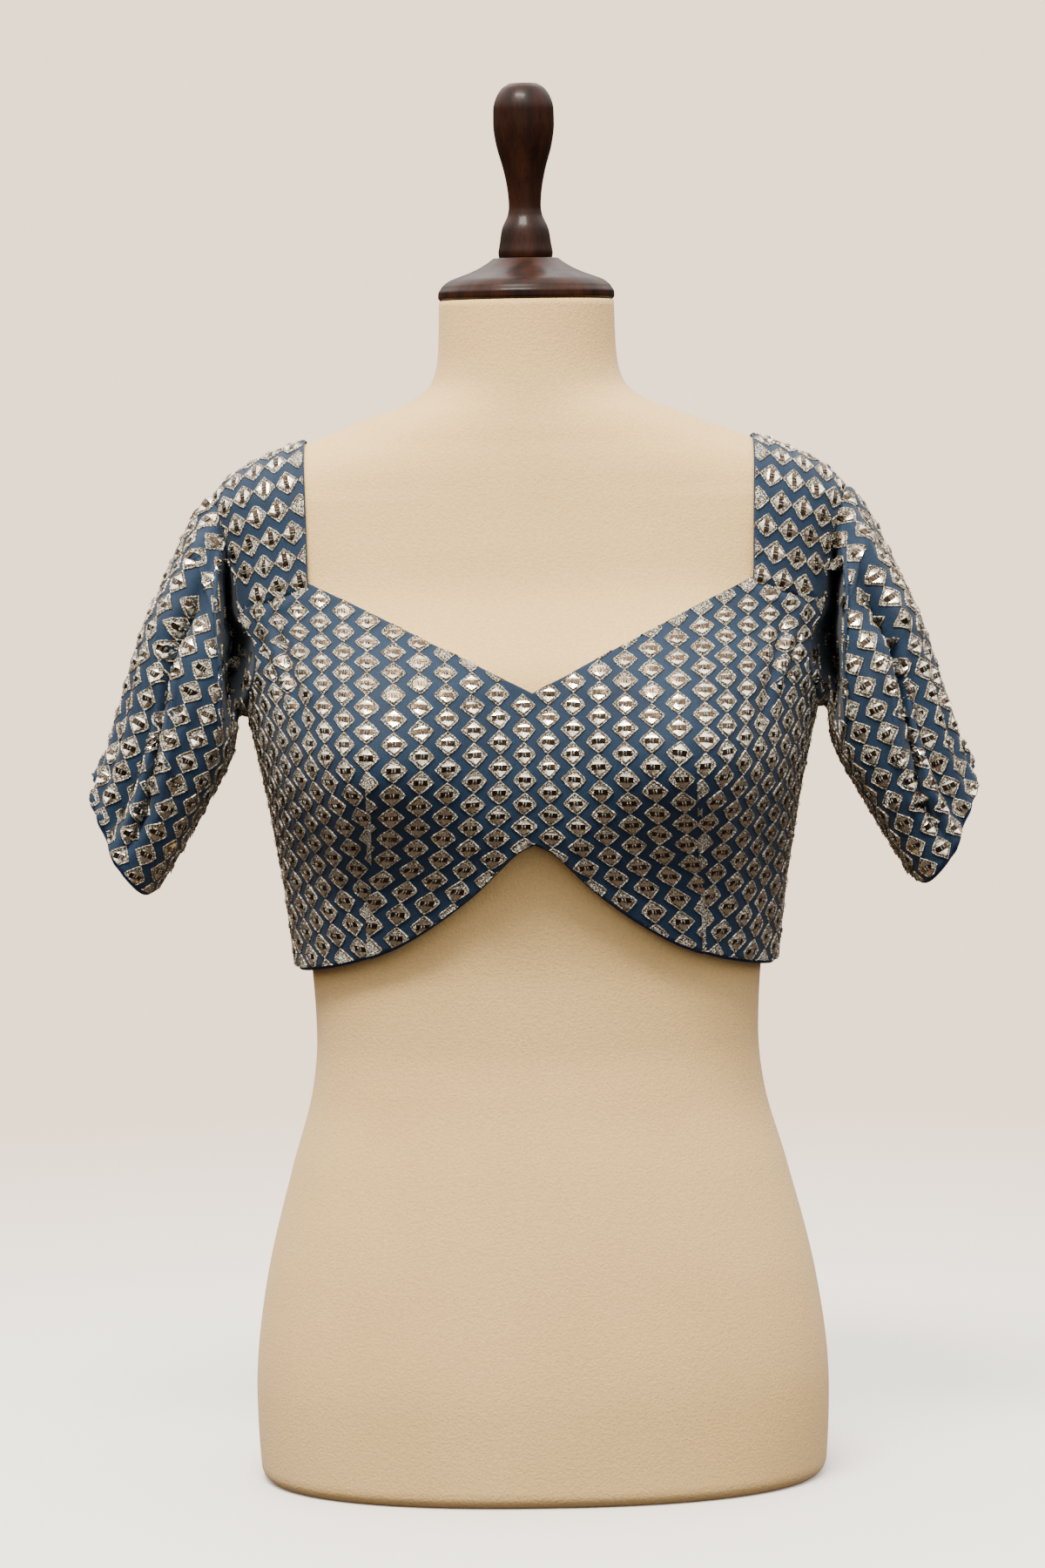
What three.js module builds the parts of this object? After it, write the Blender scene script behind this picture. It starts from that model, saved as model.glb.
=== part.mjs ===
// Crop top on a limbless dress form: an embroidered short blouse with a wide square and V neck, elbow
// sleeves and a notched hem, worn by a padded form with a turned wooden neck cap and handle.
// Millimetres, +Z up, the front faces -Y, and the origin is the centre of the form's flat base.
import * as THREE from "three";
import { mergeVertices } from "three/addons/utils/BufferGeometryUtils.js";

// ---- Driving dimensions ----
const CLOTH = 1.6; // wall of the embroidered cloth
const FACING = 1.0; // wall of the plain turned facings
const SEAM = 0.35; // clear gap between two pieces at a seam
const NECK_TOP = 677; // height of the form's flat neck top
const NECK_CENTRE_Y = 3.5; // the neck stands slightly behind the middle of the base
const HANDLE_TOP = 800;

const BUST = { x: 90, z: 418, rise: 33, across: 54, above: 50, below: 44 };
const DART = { x: 90 }; // each bust dart runs straight down to the hem
const NECK_POINT = 458; // height of the V at the centre front
const NECK_SLOPE = 0.49; // rise of the neckline for each millimetre out from the V
const STRAP_CORNER_X = 124; // where the neckline turns up into the strap
const STRAP_TOP_X = 127; // the strap's inner edge on top of the shoulder
const STRAP_TOP_Z = 597.5;
const BACK_NECK = 480; // lowest point of the back neckline
const BACK_CORNER_Z = 530; // where the back neckline turns up into the strap
const BACK_CORNER_X = 118;
const SIDE_HEM = 299; // height of the hem at the side seams and across the back
const UNDERARM = 443; // height of the armhole's lowest point
const FACING_DEPTH = 22; // how far the hem facing reaches up inside
const FACING_SHOWS = 1.8; // how far a facing peeks past its edge
const FACING_STAND = 0.4; // clear gap between a facing and the cloth it backs

const DEGREE = Math.PI / 180;
const SIDE = 90 * DEGREE; // turn from the centre front to the side seam
const BACK = 180 * DEGREE;

// The form, a horizontal section per row: half width, depth of the front and of the back from the
// middle plane, and how square the section is (2 is an ellipse).
const FORM_SECTIONS = [
  { z: 0, side: 160, front: 99, back: 107, square: 2.3 },
  { z: 5, side: 164, front: 103, back: 111, square: 2.3 },
  { z: 50, side: 166, front: 103, back: 114, square: 2.3 },
  { z: 115, side: 159, front: 98, back: 111, square: 2.3 },
  { z: 180, side: 143, front: 90, back: 101, square: 2.25 },
  { z: 225, side: 130.5, front: 83, back: 92, square: 2.2 },
  { z: 255, side: 127.5, front: 80, back: 88, square: 2.2 },
  { z: 290, side: 129, front: 80.5, back: 88, square: 2.2 },
  { z: 340, side: 135.5, front: 88, back: 91, square: 2.25 },
  { z: 390, side: 146, front: 100, back: 96, square: 2.35 },
  { z: 430, side: 153.5, front: 103, back: 101, square: 2.45 },
  { z: 455, side: 156.5, front: 103.5, back: 103.5, square: 2.45 },
  { z: 470, side: 158.5, front: 100, back: 105, square: 2.45 },
  { z: 490, side: 161, front: 88, back: 106, square: 2.4 },
  { z: 510, side: 164, front: 76, back: 106, square: 2.35 },
  { z: 540, side: 173.5, front: 67.5, back: 103, square: 2.2 },
  { z: 556, side: 179, front: 64, back: 99, square: 2.1 },
  { z: 564, side: 179.5, front: 62.5, back: 96, square: 2.05 },
  { z: 572, side: 175, front: 61, back: 92, square: 2 },
  { z: 580, side: 166, front: 59.5, back: 88, square: 2 },
  { z: 589, side: 149, front: 57.5, back: 82, square: 2 },
  { z: 597, side: 128, front: 55.5, back: 76, square: 2 },
  { z: 604, side: 110, front: 54, back: 71, square: 2 },
  { z: 612, side: 89, front: 52, back: 66, square: 2 },
  { z: 619, side: 70, front: 50.5, back: 62, square: 2 },
  { z: 626, side: 59, front: 49.3, back: 59.5, square: 2 },
  { z: 636, side: 53, front: 48, back: 57, square: 2 },
  { z: 650, side: 50.8, front: 47, back: 54.5, square: 2 },
  { z: NECK_TOP, side: 50, front: 46.5, back: 53.5, square: 2 },
];

// Ease: how far the inside of the cloth stands off the form, at the centre front, over the cups, along
// the straps, at the sides and across the back.
const EASE = [
  { z: 297, centre: 10, cup: 8.5, strap: 8, side: 8, back: 5 },
  { z: 330, centre: 10.5, cup: 8, strap: 7, side: 7.2, back: 4.5 },
  { z: 365, centre: 11, cup: 5.5, strap: 5, side: 5.5, back: 4 },
  { z: 400, centre: 10, cup: 2, strap: 2.5, side: 4, back: 3 },
  { z: 430, centre: 6.5, cup: 1, strap: 1.5, side: 5, back: 2 },
  { z: 458, centre: 2, cup: 1, strap: 1.5, side: 8.5, back: 1.5 },
  { z: 485, centre: 1.2, cup: 1, strap: 2, side: 10, back: 1.2 },
  { z: 510, centre: 1.2, cup: 1, strap: 1.8, side: 9, back: 1.2 },
  { z: 540, centre: 1, cup: 1, strap: 1.2, side: 4, back: 1 },
  { z: 560, centre: 1, cup: 1, strap: 0.9, side: 1.6, back: 1 },
  { z: 580, centre: 0.8, cup: 0.8, strap: 0.8, side: 0.8, back: 0.8 },
  { z: 620, centre: 0.8, cup: 0.8, strap: 0.8, side: 0.8, back: 0.8 },
];
const EASE_TURNS = [
  { turn: 0, column: "centre" },
  { turn: 37 * DEGREE, column: "cup" },
  { turn: 62 * DEGREE, column: "strap" },
  { turn: SIDE, column: "side" },
  { turn: BACK, column: "back" },
];

// The armhole seam as seen on the wearer's right side, once round from the top of the shoulder down
// the front, under the arm and up the back. part is the share of the way round.
const ARMHOLE = [
  { part: 0, turn: 90, z: 567 },
  { part: 0.03, turn: 87.6, z: 566 },
  { part: 0.07, turn: 85.2, z: 560.5 },
  { part: 0.12, turn: 83.3, z: 546 },
  { part: 0.18, turn: 82, z: 523 },
  { part: 0.25, turn: 81, z: 502 },
  { part: 0.31, turn: 76, z: 488 },
  { part: 0.37, turn: 74, z: 474 },
  { part: 0.43, turn: 77.5, z: 458 },
  { part: 0.47, turn: 83, z: 448 },
  { part: 0.5, turn: 90, z: UNDERARM },
  { part: 0.55, turn: 98, z: 447 },
  { part: 0.62, turn: 104, z: 462 },
  { part: 0.7, turn: 106, z: 482 },
  { part: 0.78, turn: 105.5, z: 505 },
  { part: 0.86, turn: 103, z: 530 },
  { part: 0.93, turn: 98.5, z: 557 },
  { part: 0.97, turn: 94, z: 565.5 },
  { part: 1, turn: 90, z: 567 },
];
const FRONT_CORNER = 0.25; // the armhole's share where the front meets the strap
const BACK_CORNER = 0.78; // and where the back meets it

// The hem from the centre front outwards: it is cut up into a rounded notch.
const HEM = [
  { x: 0, z: 379 },
  { x: 10, z: 374 },
  { x: 20, z: 364 },
  { x: 30, z: 353 },
  { x: 40, z: 343.5 },
  { x: 51, z: 334.5 },
  { x: 62, z: 326.5 },
  { x: 75, z: 318 },
  { x: 92, z: 310 },
  { x: 110, z: 304 },
  { x: 128, z: SIDE_HEM },
];

// The sleeve, a ring per row: its outer and inner edge seen from the front, how far it reaches
// forward and back, and how far the front of the ring droops along the sleeve.
const SLEEVE = [
  { v: 0, outX: 185, outZ: 568, inX: 170, inZ: 446, front: 42, back: 46, droop: 0 },
  { v: 0.12, outX: 195, outZ: 552, inX: 171.5, inZ: 440, front: 48, back: 52, droop: 2 },
  { v: 0.25, outX: 206, outZ: 529, inX: 172, inZ: 433, front: 54, back: 57, droop: 4 },
  { v: 0.4, outX: 216, outZ: 503, inX: 173, inZ: 424, front: 57, back: 59, droop: 7 },
  { v: 0.55, outX: 225, outZ: 476, inX: 178, inZ: 411, front: 57, back: 59, droop: 9 },
  { v: 0.7, outX: 233, outZ: 450, inX: 188.5, inZ: 393, front: 56, back: 58, droop: 11 },
  { v: 0.85, outX: 241, outZ: 428, inX: 201, inZ: 371, front: 54, back: 56, droop: 12 },
  { v: 1, outX: 252, outZ: 408, inX: 216, inZ: 347, front: 51, back: 53, droop: 13 },
];
const SLEEVE_STAND = 0.03; // share of the sleeve that stands straight up from its seam
const SLEEVE_ROOT = 0.15; // share by which it has turned to hang freely
const SLEEVE_ROOT_RUN = 40; // how fast its first rings leave the seam along the cloth
const SLEEVE_ROOT_RISE = 3.5; // and how far they rise off it
const SLEEVE_LENGTH = 150;
const SLEEVE_AXIS = new THREE.Vector3(0.36, 0, -0.93).normalize(); // the way the sleeve hangs
const BACK_DROOP = 0.3; // the back of a ring droops by this share of its front
const ROUND_SQUARE = 2.3; // how square a ring is, 2 being an ellipse
const FOLDED_SQUARE = 3.6; // and where its front folds in

// The largest folds of the sleeve: a line from one ring to another, sunk in (below 0) or pushed out.
const SLEEVE_FOLDS = [
  { fromPart: 0.17, fromV: 0.3, toPart: 0.19, toV: 0.9, depth: -9, width: 0.035, run: 0.16 },
  { fromPart: 0.08, fromV: 0.5, toPart: 0.1, toV: 1, depth: 4, width: 0.05, run: 0.2 },
  { fromPart: 0.72, fromV: 0.25, toPart: 0.7, toV: 0.95, depth: -8, width: 0.04, run: 0.16 },
  { fromPart: 0.86, fromV: 0.3, toPart: 0.84, toV: 0.8, depth: -5, width: 0.035, run: 0.16 },
];

// Where the front of the sleeve head is pulled: it swells over the strap's seam, and behind that edge
// it is tucked back beside the front panel. x and y are how far each pull moves the wall.
const SLEEVE_PULLS = [
  { part: 0.24, v: 0.17, aroundPart: 0.15, aroundV: 0.12, x: -10, y: 0 },
  { part: 0.37, v: 0.1, aroundPart: 0.09, aroundV: 0.055, x: 0, y: 18 },
];

// The neck cap, a turned disc, and the handle, a turned baluster knob, from the bottom up.
const CAP_PROFILE = [
  { radius: 49.4, z: NECK_TOP + 0.3 },
  { radius: 50.5, z: 679 },
  { radius: 50.4, z: 681.5 },
  { radius: 49, z: 684 },
  { radius: 47.5, z: 686 },
  { radius: 44, z: 688.6 },
  { radius: 39, z: 690.6 },
  { radius: 33, z: 692.8 },
  { radius: 27, z: 695.5 },
  { radius: 22, z: 698.5 },
  { radius: 18.6, z: 701 },
];
const HANDLE_PROFILE = [
  { radius: 15.2, z: 701.3 },
  { radius: 15.6, z: 704 },
  { radius: 14.8, z: 709 },
  { radius: 13.2, z: 718 },
  { radius: 9.8, z: 726 },
  { radius: 9.2, z: 731 },
  { radius: 10, z: 741 },
  { radius: 12.2, z: 752 },
  { radius: 15.8, z: 765 },
  { radius: 17.4, z: 777 },
  { radius: 17.3, z: 785 },
  { radius: 15.6, z: 792 },
  { radius: 12.2, z: 797.3 },
  { radius: 8, z: HANDLE_TOP },
];

// ---- How finely each surface is divided ----

const SIDE_ROWS = 12; // rows of a panel below the underarm
const ARM_ROWS = 6; // and along the armhole
const MIDDLE_COLUMNS = 9; // columns of the front between the centre and a dart
const SIDE_COLUMNS = 9; // and between a dart and the side seam
const NECK_COLUMNS = 4; // of those, the ones under the neckline
const BACK_COLUMNS = 10;
const BACK_NECK_SHARE = 0.7; // share of a back panel's top edge that is neckline
const BACK_NECK_BOW = 2.6; // how square the back neckline's scoop is
const EDGE_PULL = 2.5; // how quickly the pull of a patch's hem and top dies away from them
const STRAP_COLUMNS = 6;
const STRAP_ROWS = 8; // rows from each seam to the top of the shoulder
const SLEEVE_RINGS = [0, 0.03, 0.06, 0.1, 0.15, 0.22, 0.31, 0.41, 0.51, 0.61, 0.71, 0.81, 0.91, 1];
const CUFF_FACING_RINGS = [0.91, 1, 1 + FACING_SHOWS / SLEEVE_LENGTH];
const FORM_ROUND = 48;
const LATHE_ROUND = 24;
const HANDLE_STEPS = 20;
// The form's rings are close together where its shoulders turn over.
const FORM_STRETCHES = [
  { from: 0, to: 5, rings: 1 },
  { from: 5, to: 305, rings: 8 },
  { from: 305, to: 545, rings: 13 },
  { from: 545, to: 635, rings: 15 },
  { from: 635, to: NECK_TOP, rings: 3 },
];

const SIDE_GAP = 0.0012; // half the side seam's gap, as a turn
const CENTRE_GAP = 0.0018; // half the gap where the back closes, as a turn
const TURN_STEP = 0.002; // small steps for measuring slopes
const HEIGHT_STEP = 0.2;
const PART_STEP = 0.003;
const V_STEP = 0.004;

// ---- Smooth curves through the tables ----

/** A smooth curve through a table's rows that never swings past them. */
function follow(table, key, column, at) {
  const last = table.length - 1;
  const place = Math.min(Math.max(at, table[0][key]), table[last][key]);
  let row = 0;
  while (row < last - 1 && place > table[row + 1][key]) row += 1;
  const span = (i) => table[i + 1][key] - table[i][key];
  const slope = (i) => (table[i + 1][column] - table[i][column]) / span(i);
  const slopeAt = (i) => {
    if (i === 0) return slope(0);
    if (i === last) return slope(last - 1);
    const [before, after] = [slope(i - 1), slope(i)];
    const mean = (before * span(i) + after * span(i - 1)) / (span(i - 1) + span(i));
    const least = Math.min(Math.abs(before), Math.abs(after), Math.abs(mean) / 2);
    return (Math.sign(before) + Math.sign(after)) * least;
  };
  const t = (place - table[row][key]) / span(row);
  const rise = table[row + 1][column] - table[row][column];
  const [start, end] = [slopeAt(row) * span(row), slopeAt(row + 1) * span(row)];
  const bend = start * t * (1 - t) ** 2 - end * t * t * (1 - t);
  return table[row][column] + rise * t * t * (3 - 2 * t) + bend;
}

const ease01 = (t) => {
  const c = Math.min(Math.max(t, 0), 1);
  return c * c * (3 - 2 * c);
};
const mix = (a, b, t) => a + (b - a) * t;
const bell = (t) => Math.exp(-t * t);

// ---- The form's surface, and the cloth over it ----

/** A point of the form at a turn from the centre front and a height; +turn is towards +X. */
function formPoint(turn, z) {
  const [forward, sideways] = [Math.cos(turn), Math.sin(turn)];
  const square = follow(FORM_SECTIONS, "z", "square", z);
  const side = follow(FORM_SECTIONS, "z", "side", z);
  const depth = follow(FORM_SECTIONS, "z", forward > 0 ? "front" : "back", z);
  const sum = Math.abs(sideways / side) ** square + Math.abs(forward / depth) ** square;
  const reach = sum ** (-1 / square);
  const x = reach * sideways;
  const up = (z - BUST.z) / (z > BUST.z ? BUST.above : BUST.below);
  const mounds = bell((x - BUST.x) / BUST.across) + bell((x + BUST.x) / BUST.across);
  const bust = BUST.rise * mounds * bell(up) * ease01(forward / 0.4);
  return new THREE.Vector3(x, -reach * forward - bust, z);
}

/** The outward unit normal of a surface given by a function of two parameters. */
function normalOf(surface, a, b, stepA, stepB) {
  const alongA = surface(a + stepA, b).sub(surface(a - stepA, b));
  const alongB = surface(a, b + stepB).sub(surface(a, b - stepB));
  return alongA.cross(alongB).normalize();
}

function easeAt(turn, z) {
  const away = Math.abs(turn);
  let knot = 0;
  while (knot < EASE_TURNS.length - 2 && away > EASE_TURNS[knot + 1].turn) knot += 1;
  const [from, to] = [EASE_TURNS[knot], EASE_TURNS[knot + 1]];
  const share = ease01((away - from.turn) / (to.turn - from.turn));
  return mix(follow(EASE, "z", from.column, z), follow(EASE, "z", to.column, z), share);
}

/** A point of the cloth: the form's point moved out by the ease and by lift into the wall. */
function clothPoint(turn, z, lift) {
  const normal = normalOf(formPoint, turn, z, TURN_STEP, HEIGHT_STEP);
  return formPoint(turn, z).addScaledVector(normal, easeAt(turn, z) + lift);
}

/** The turn at which the form is x wide at height z, on the front or the back. */
function turnAtX(x, z, isBack) {
  const side = follow(FORM_SECTIONS, "z", "side", z);
  const depth = follow(FORM_SECTIONS, "z", isBack ? "back" : "front", z);
  const square = follow(FORM_SECTIONS, "z", "square", z);
  const left = Math.max(0, 1 - (Math.abs(x) / side) ** square);
  const y = depth * left ** (1 / square);
  return Math.atan2(x, isBack ? -y : y);
}

// ---- Closed solids from grids ----

/** Joins an outer and an inner grid of points into one closed wall. */
function wall(outer, inner, closedRound) {
  const columns = outer.length;
  const rows = outer[0].length;
  const points = [...outer.flat(), ...inner.flat()];
  const at = (layer, i, j) => layer * columns * rows + (i % columns) * rows + j;
  const faces = [];
  const quad = (a, b, c, d) => faces.push([a, b, c], [a, c, d]);
  const steps = closedRound ? columns : columns - 1;
  for (let i = 0; i < steps; i += 1) {
    for (let j = 0; j < rows - 1; j += 1) {
      quad(at(0, i, j), at(0, i + 1, j), at(0, i + 1, j + 1), at(0, i, j + 1));
      quad(at(1, i, j), at(1, i, j + 1), at(1, i + 1, j + 1), at(1, i + 1, j));
    }
    quad(at(1, i, 0), at(1, i + 1, 0), at(0, i + 1, 0), at(0, i, 0));
    quad(at(0, i, rows - 1), at(0, i + 1, rows - 1), at(1, i + 1, rows - 1), at(1, i, rows - 1));
  }
  if (!closedRound) {
    for (let j = 0; j < rows - 1; j += 1) {
      quad(at(0, 0, j), at(0, 0, j + 1), at(1, 0, j + 1), at(1, 0, j));
      const end = columns - 1;
      quad(at(1, end, j), at(1, end, j + 1), at(0, end, j + 1), at(0, end, j));
    }
  }
  return geometryFrom(points, faces);
}

function geometryFrom(points, faces) {
  const geometry = new THREE.BufferGeometry();
  const coordinates = points.flatMap((p) => [p.x, p.y, p.z]);
  geometry.setAttribute("position", new THREE.Float32BufferAttribute(coordinates, 3));
  geometry.setIndex(faces.flat());
  geometry.computeVertexNormals();
  return geometry;
}

/** A solid of stacked rings, closed at both ends by a fan round a middle point. */
function stackedSolid(rings) {
  const round = rings[0].length;
  const middle = (ring) => ring.reduce((sum, p) => sum.add(p), new THREE.Vector3()).divideScalar(round);
  const points = [...rings.flat(), middle(rings[0]), middle(rings[rings.length - 1])];
  const [bottom, top] = [points.length - 2, points.length - 1];
  const faces = [];
  for (let i = 0; i < round; i += 1) {
    const next = (i + 1) % round;
    faces.push([bottom, next, i]);
    for (let j = 0; j < rings.length - 1; j += 1) {
      const [low, high] = [j * round, (j + 1) * round];
      faces.push([low + i, low + next, high + next], [low + i, high + next, high + i]);
    }
    faces.push([top, (rings.length - 1) * round + i, (rings.length - 1) * round + next]);
  }
  return geometryFrom(points, faces);
}

const range = (count) => Array.from({ length: count + 1 }, (_, i) => i / count);

/** A cloth wall over a grid of { turn, z } places, with +turn running on as the columns do. */
function clothWall(places, from, thickness) {
  const layer = (lift) => places.map((column) => column.map((p) => clothPoint(p.turn, p.z, lift)));
  return wall(layer(from + thickness), layer(from), false);
}

/** A four-sided patch of { turn, z } places; its hem and top shape only the places near them. */
function patch(left, right, bottom, top, across, upwards) {
  const straight = (k, w, key) => mix(left(w)[key], right(w)[key], k);
  const blend = (k, w, key) => {
    const low = (bottom(k)[key] - straight(k, 0, key)) * (1 - w) ** EDGE_PULL;
    const high = (top(k)[key] - straight(k, 1, key)) * w ** EDGE_PULL;
    return straight(k, w, key) + low + high;
  };
  return across.map((k) => upwards.map((w) => ({ turn: blend(k, w, "turn"), z: blend(k, w, "z") })));
}

// ---- Edges of the cut pieces, as { turn, z } places on the side of +X ----

function armhole(part) {
  return {
    turn: follow(ARMHOLE, "part", "turn", part) * DEGREE,
    z: follow(ARMHOLE, "part", "z", part),
  };
}
const hemAt = (x) => follow(HEM, "x", "z", Math.abs(x));
const necklineAt = (x) => NECK_POINT + NECK_SLOPE * Math.abs(x);
const placeOnFront = (x, z) => ({ turn: turnAtX(x, z, false), z });
const onNeckline = (x) => placeOnFront(x, necklineAt(x));
const placeOnBack = (x, z) => ({ turn: turnAtX(x, z, true), z });
const between = (a, b, t) => ({ turn: mix(a.turn, b.turn, t), z: mix(a.z, b.z, t) });

const ROWS = range(SIDE_ROWS + ARM_ROWS);
const UNDERARM_SHARE = SIDE_ROWS / (SIDE_ROWS + ARM_ROWS);

/** The side seam from the hem to the underarm, and on along the armhole to a strap's corner. */
function sideEdge(cornerPart, gap) {
  return (w) => {
    if (w <= UNDERARM_SHARE) {
      return { turn: SIDE + gap, z: mix(SIDE_HEM, UNDERARM, w / UNDERARM_SHARE) };
    }
    const share = (w - UNDERARM_SHARE) / (1 - UNDERARM_SHARE);
    const place = armhole(mix(0.5, cornerPart, share));
    return { turn: place.turn + gap * (1 - share), z: place.z };
  };
}

/** An edge of two stretches that meet in a corner at a given share of the way. */
function bentEdge(first, last, cornerShare) {
  return (k) => (k <= cornerShare ? first(k / cornerShare) : last((k - cornerShare) / (1 - cornerShare)));
}

const frontCorner = armhole(FRONT_CORNER);
const neckCorner = onNeckline(STRAP_CORNER_X);
const backStrapCorner = armhole(BACK_CORNER);
const backNeckCorner = placeOnBack(BACK_CORNER_X, BACK_CORNER_Z);

// ---- The cut pieces ----

/** Half of the front, from the centre line to the side, as columns of places. */
function frontHalf() {
  const middle = range(MIDDLE_COLUMNS).map((k) => {
    const x = DART.x * k;
    return ROWS.map((w) => placeOnFront(x, mix(hemAt(x), necklineAt(x), w)));
  });
  const dart = (w) => placeOnFront(DART.x, mix(hemAt(DART.x), necklineAt(DART.x), w));
  const hem = (k) => {
    const turn = mix(dart(0).turn, SIDE - SIDE_GAP, k);
    return { turn, z: hemAt(formPoint(turn, SIDE_HEM).x) };
  };
  const top = bentEdge(
    (s) => onNeckline(mix(DART.x, STRAP_CORNER_X, s)),
    (s) => between(neckCorner, frontCorner, s),
    NECK_COLUMNS / SIDE_COLUMNS,
  );
  const outside = patch(dart, sideEdge(FRONT_CORNER, -SIDE_GAP), hem, top, range(SIDE_COLUMNS), ROWS);
  return [...middle, ...outside.slice(1)];
}

const flip = (place) => ({ turn: -place.turn, z: place.z });
const flipAll = (columns) => columns.map((column) => column.map(flip)).reverse();

function frontPlaces() {
  const right = frontHalf();
  return [...flipAll(right), ...right.slice(1)];
}

/** Half of the back on the side of +X, from the side seam to the centre back. */
function backHalf() {
  const centreTurn = BACK - CENTRE_GAP;
  const centre = (w) => ({ turn: centreTurn, z: mix(SIDE_HEM, BACK_NECK, w) });
  const hem = (k) => ({ turn: mix(SIDE + SIDE_GAP, centreTurn, k), z: SIDE_HEM });
  const neckline = (s) => {
    const z = mix(BACK_NECK, BACK_CORNER_Z, (1 - s) ** BACK_NECK_BOW);
    return { turn: mix(backNeckCorner.turn, centreTurn, s), z };
  };
  const shoulder = (s) => between(backStrapCorner, backNeckCorner, s);
  const top = bentEdge(shoulder, neckline, 1 - BACK_NECK_SHARE);
  return patch(sideEdge(BACK_CORNER, SIDE_GAP), centre, hem, top, range(BACK_COLUMNS), ROWS);
}

/** A strap from its neck edge to the armhole, once over the shoulder from front to back. */
function strapPlaces() {
  const steps = range(2 * STRAP_ROWS).map((t) => 2 * t - 1);
  const neckEdge = (step) => {
    const isBack = step > 0;
    const corner = isBack ? backNeckCorner : neckCorner;
    const cornerX = isBack ? BACK_CORNER_X : STRAP_CORNER_X;
    const z = mix(STRAP_TOP_Z, corner.z + SEAM, step * step);
    return { turn: turnAtX(mix(STRAP_TOP_X, cornerX, step * step), z, isBack), z };
  };
  const armEdge = (step) => {
    const away = Math.abs(step);
    const place = armhole(step < 0 ? FRONT_CORNER * away : 1 - (1 - BACK_CORNER) * away);
    return { turn: place.turn, z: place.z + SEAM * away };
  };
  return steps.map((step) => range(STRAP_COLUMNS).map((k) => between(armEdge(step), neckEdge(step), k)));
}

// ---- Sleeves ----

/** The armhole seam's middle, the way into the hole and the cloth's normal there. */
function armholeFrame(part) {
  const whole = part - Math.floor(part);
  const place = armhole(whole);
  const at = (p) => {
    const near = armhole(p - Math.floor(p));
    return clothPoint(near.turn, near.z, CLOTH / 2);
  };
  const along = at(whole + PART_STEP).sub(at(whole - PART_STEP)).normalize();
  const cloth = (turn, z) => clothPoint(turn, z, CLOTH / 2);
  const normal = normalOf(cloth, place.turn, place.z, 2 * TURN_STEP, 2 * HEIGHT_STEP);
  return { point: at(whole), inward: normal.clone().cross(along).normalize(), normal };
}

/** A ring of the hanging sleeve: round outside and behind, squarer where its front folds in. */
function sleeveRing(part, v) {
  const get = (column) => follow(SLEEVE, "v", column, Math.min(v, 1));
  const round = 2 * Math.PI * part;
  const [c, s] = [Math.cos(round), Math.sin(round)];
  const square = c < 0 && s > 0 ? FOLDED_SQUARE : ROUND_SQUARE;
  const reach = (Math.abs(c) ** square + Math.abs(s) ** square) ** (-1 / square);
  const across = (reach * c + 1) / 2;
  const depth = s > 0 ? -get("front") : get("back");
  const point = new THREE.Vector3(
    mix(get("inX"), get("outX"), across),
    Math.abs(reach * s) * depth,
    mix(get("inZ"), get("outZ"), across),
  );
  const droop = get("droop") * (s > 0 ? 1 : BACK_DROOP) * Math.abs(s) ** 1.5;
  return point.addScaledVector(SLEEVE_AXIS, droop + Math.max(v - 1, 0) * SLEEVE_LENGTH);
}

/** How far the folds move the sleeve's wall in or out; they die away at the armhole seam. */
function foldDepth(part, v) {
  const free = ease01(v / (2 * SLEEVE_STAND));
  return free * SLEEVE_FOLDS.reduce((sum, fold) => {
    const share = Math.min(Math.max((v - fold.fromV) / (fold.toV - fold.fromV), 0), 1);
    const off = (part - mix(fold.fromPart, fold.toPart, share)) / fold.width;
    const past = (v - mix(fold.fromV, fold.toV, share)) / fold.run;
    return sum + fold.depth * bell(off) * bell(past);
  }, 0);
}

/** The sleeve's middle surface on the side of +X, before its folds. */
function sleeveBase(part, v) {
  const hanging = sleeveRing(part, v);
  const root = 1 - ease01((v - SLEEVE_STAND) / (SLEEVE_ROOT - SLEEVE_STAND));
  if (root <= 0) return hanging;
  const seam = armholeFrame(part);
  const rise = SLEEVE_ROOT_RISE * ease01(v / (2 * SLEEVE_STAND));
  const start = seam.point.addScaledVector(seam.inward, SEAM + SLEEVE_ROOT_RUN * v);
  return start.addScaledVector(seam.normal, rise).lerp(hanging, 1 - root);
}

/** The sleeve's middle surface with the pulls at its head. */
function sleevePulled(part, v) {
  const free = ease01(v / (2 * SLEEVE_STAND));
  const point = sleeveBase(part, v);
  SLEEVE_PULLS.forEach((pull) => {
    const near = bell((part - pull.part) / pull.aroundPart) * bell((v - pull.v) / pull.aroundV);
    point.add(new THREE.Vector3(pull.x, pull.y, 0).multiplyScalar(near * free));
  });
  return point;
}

function sleeveMiddle(part, v) {
  const normal = normalOf(sleevePulled, part, v, PART_STEP, V_STEP);
  return sleevePulled(part, v).addScaledVector(normal, foldDepth(part, v));
}

function sleevePoint(part, v, lift) {
  const normal = normalOf(sleeveMiddle, part, v, PART_STEP, V_STEP);
  return sleeveMiddle(part, v).addScaledVector(normal, lift);
}

// The sleeve's columns fall on the same points of the armhole as those of the pieces it is sewn to.
const SLEEVE_PARTS = [
  ...range(STRAP_ROWS).slice(0, -1).map((t) => FRONT_CORNER * t),
  ...range(ARM_ROWS).slice(0, -1).map((t) => mix(FRONT_CORNER, 0.5, t)),
  ...range(ARM_ROWS).slice(0, -1).map((t) => mix(0.5, BACK_CORNER, t)),
  ...range(STRAP_ROWS).slice(0, -1).map((t) => mix(BACK_CORNER, 1, t)),
];

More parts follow.
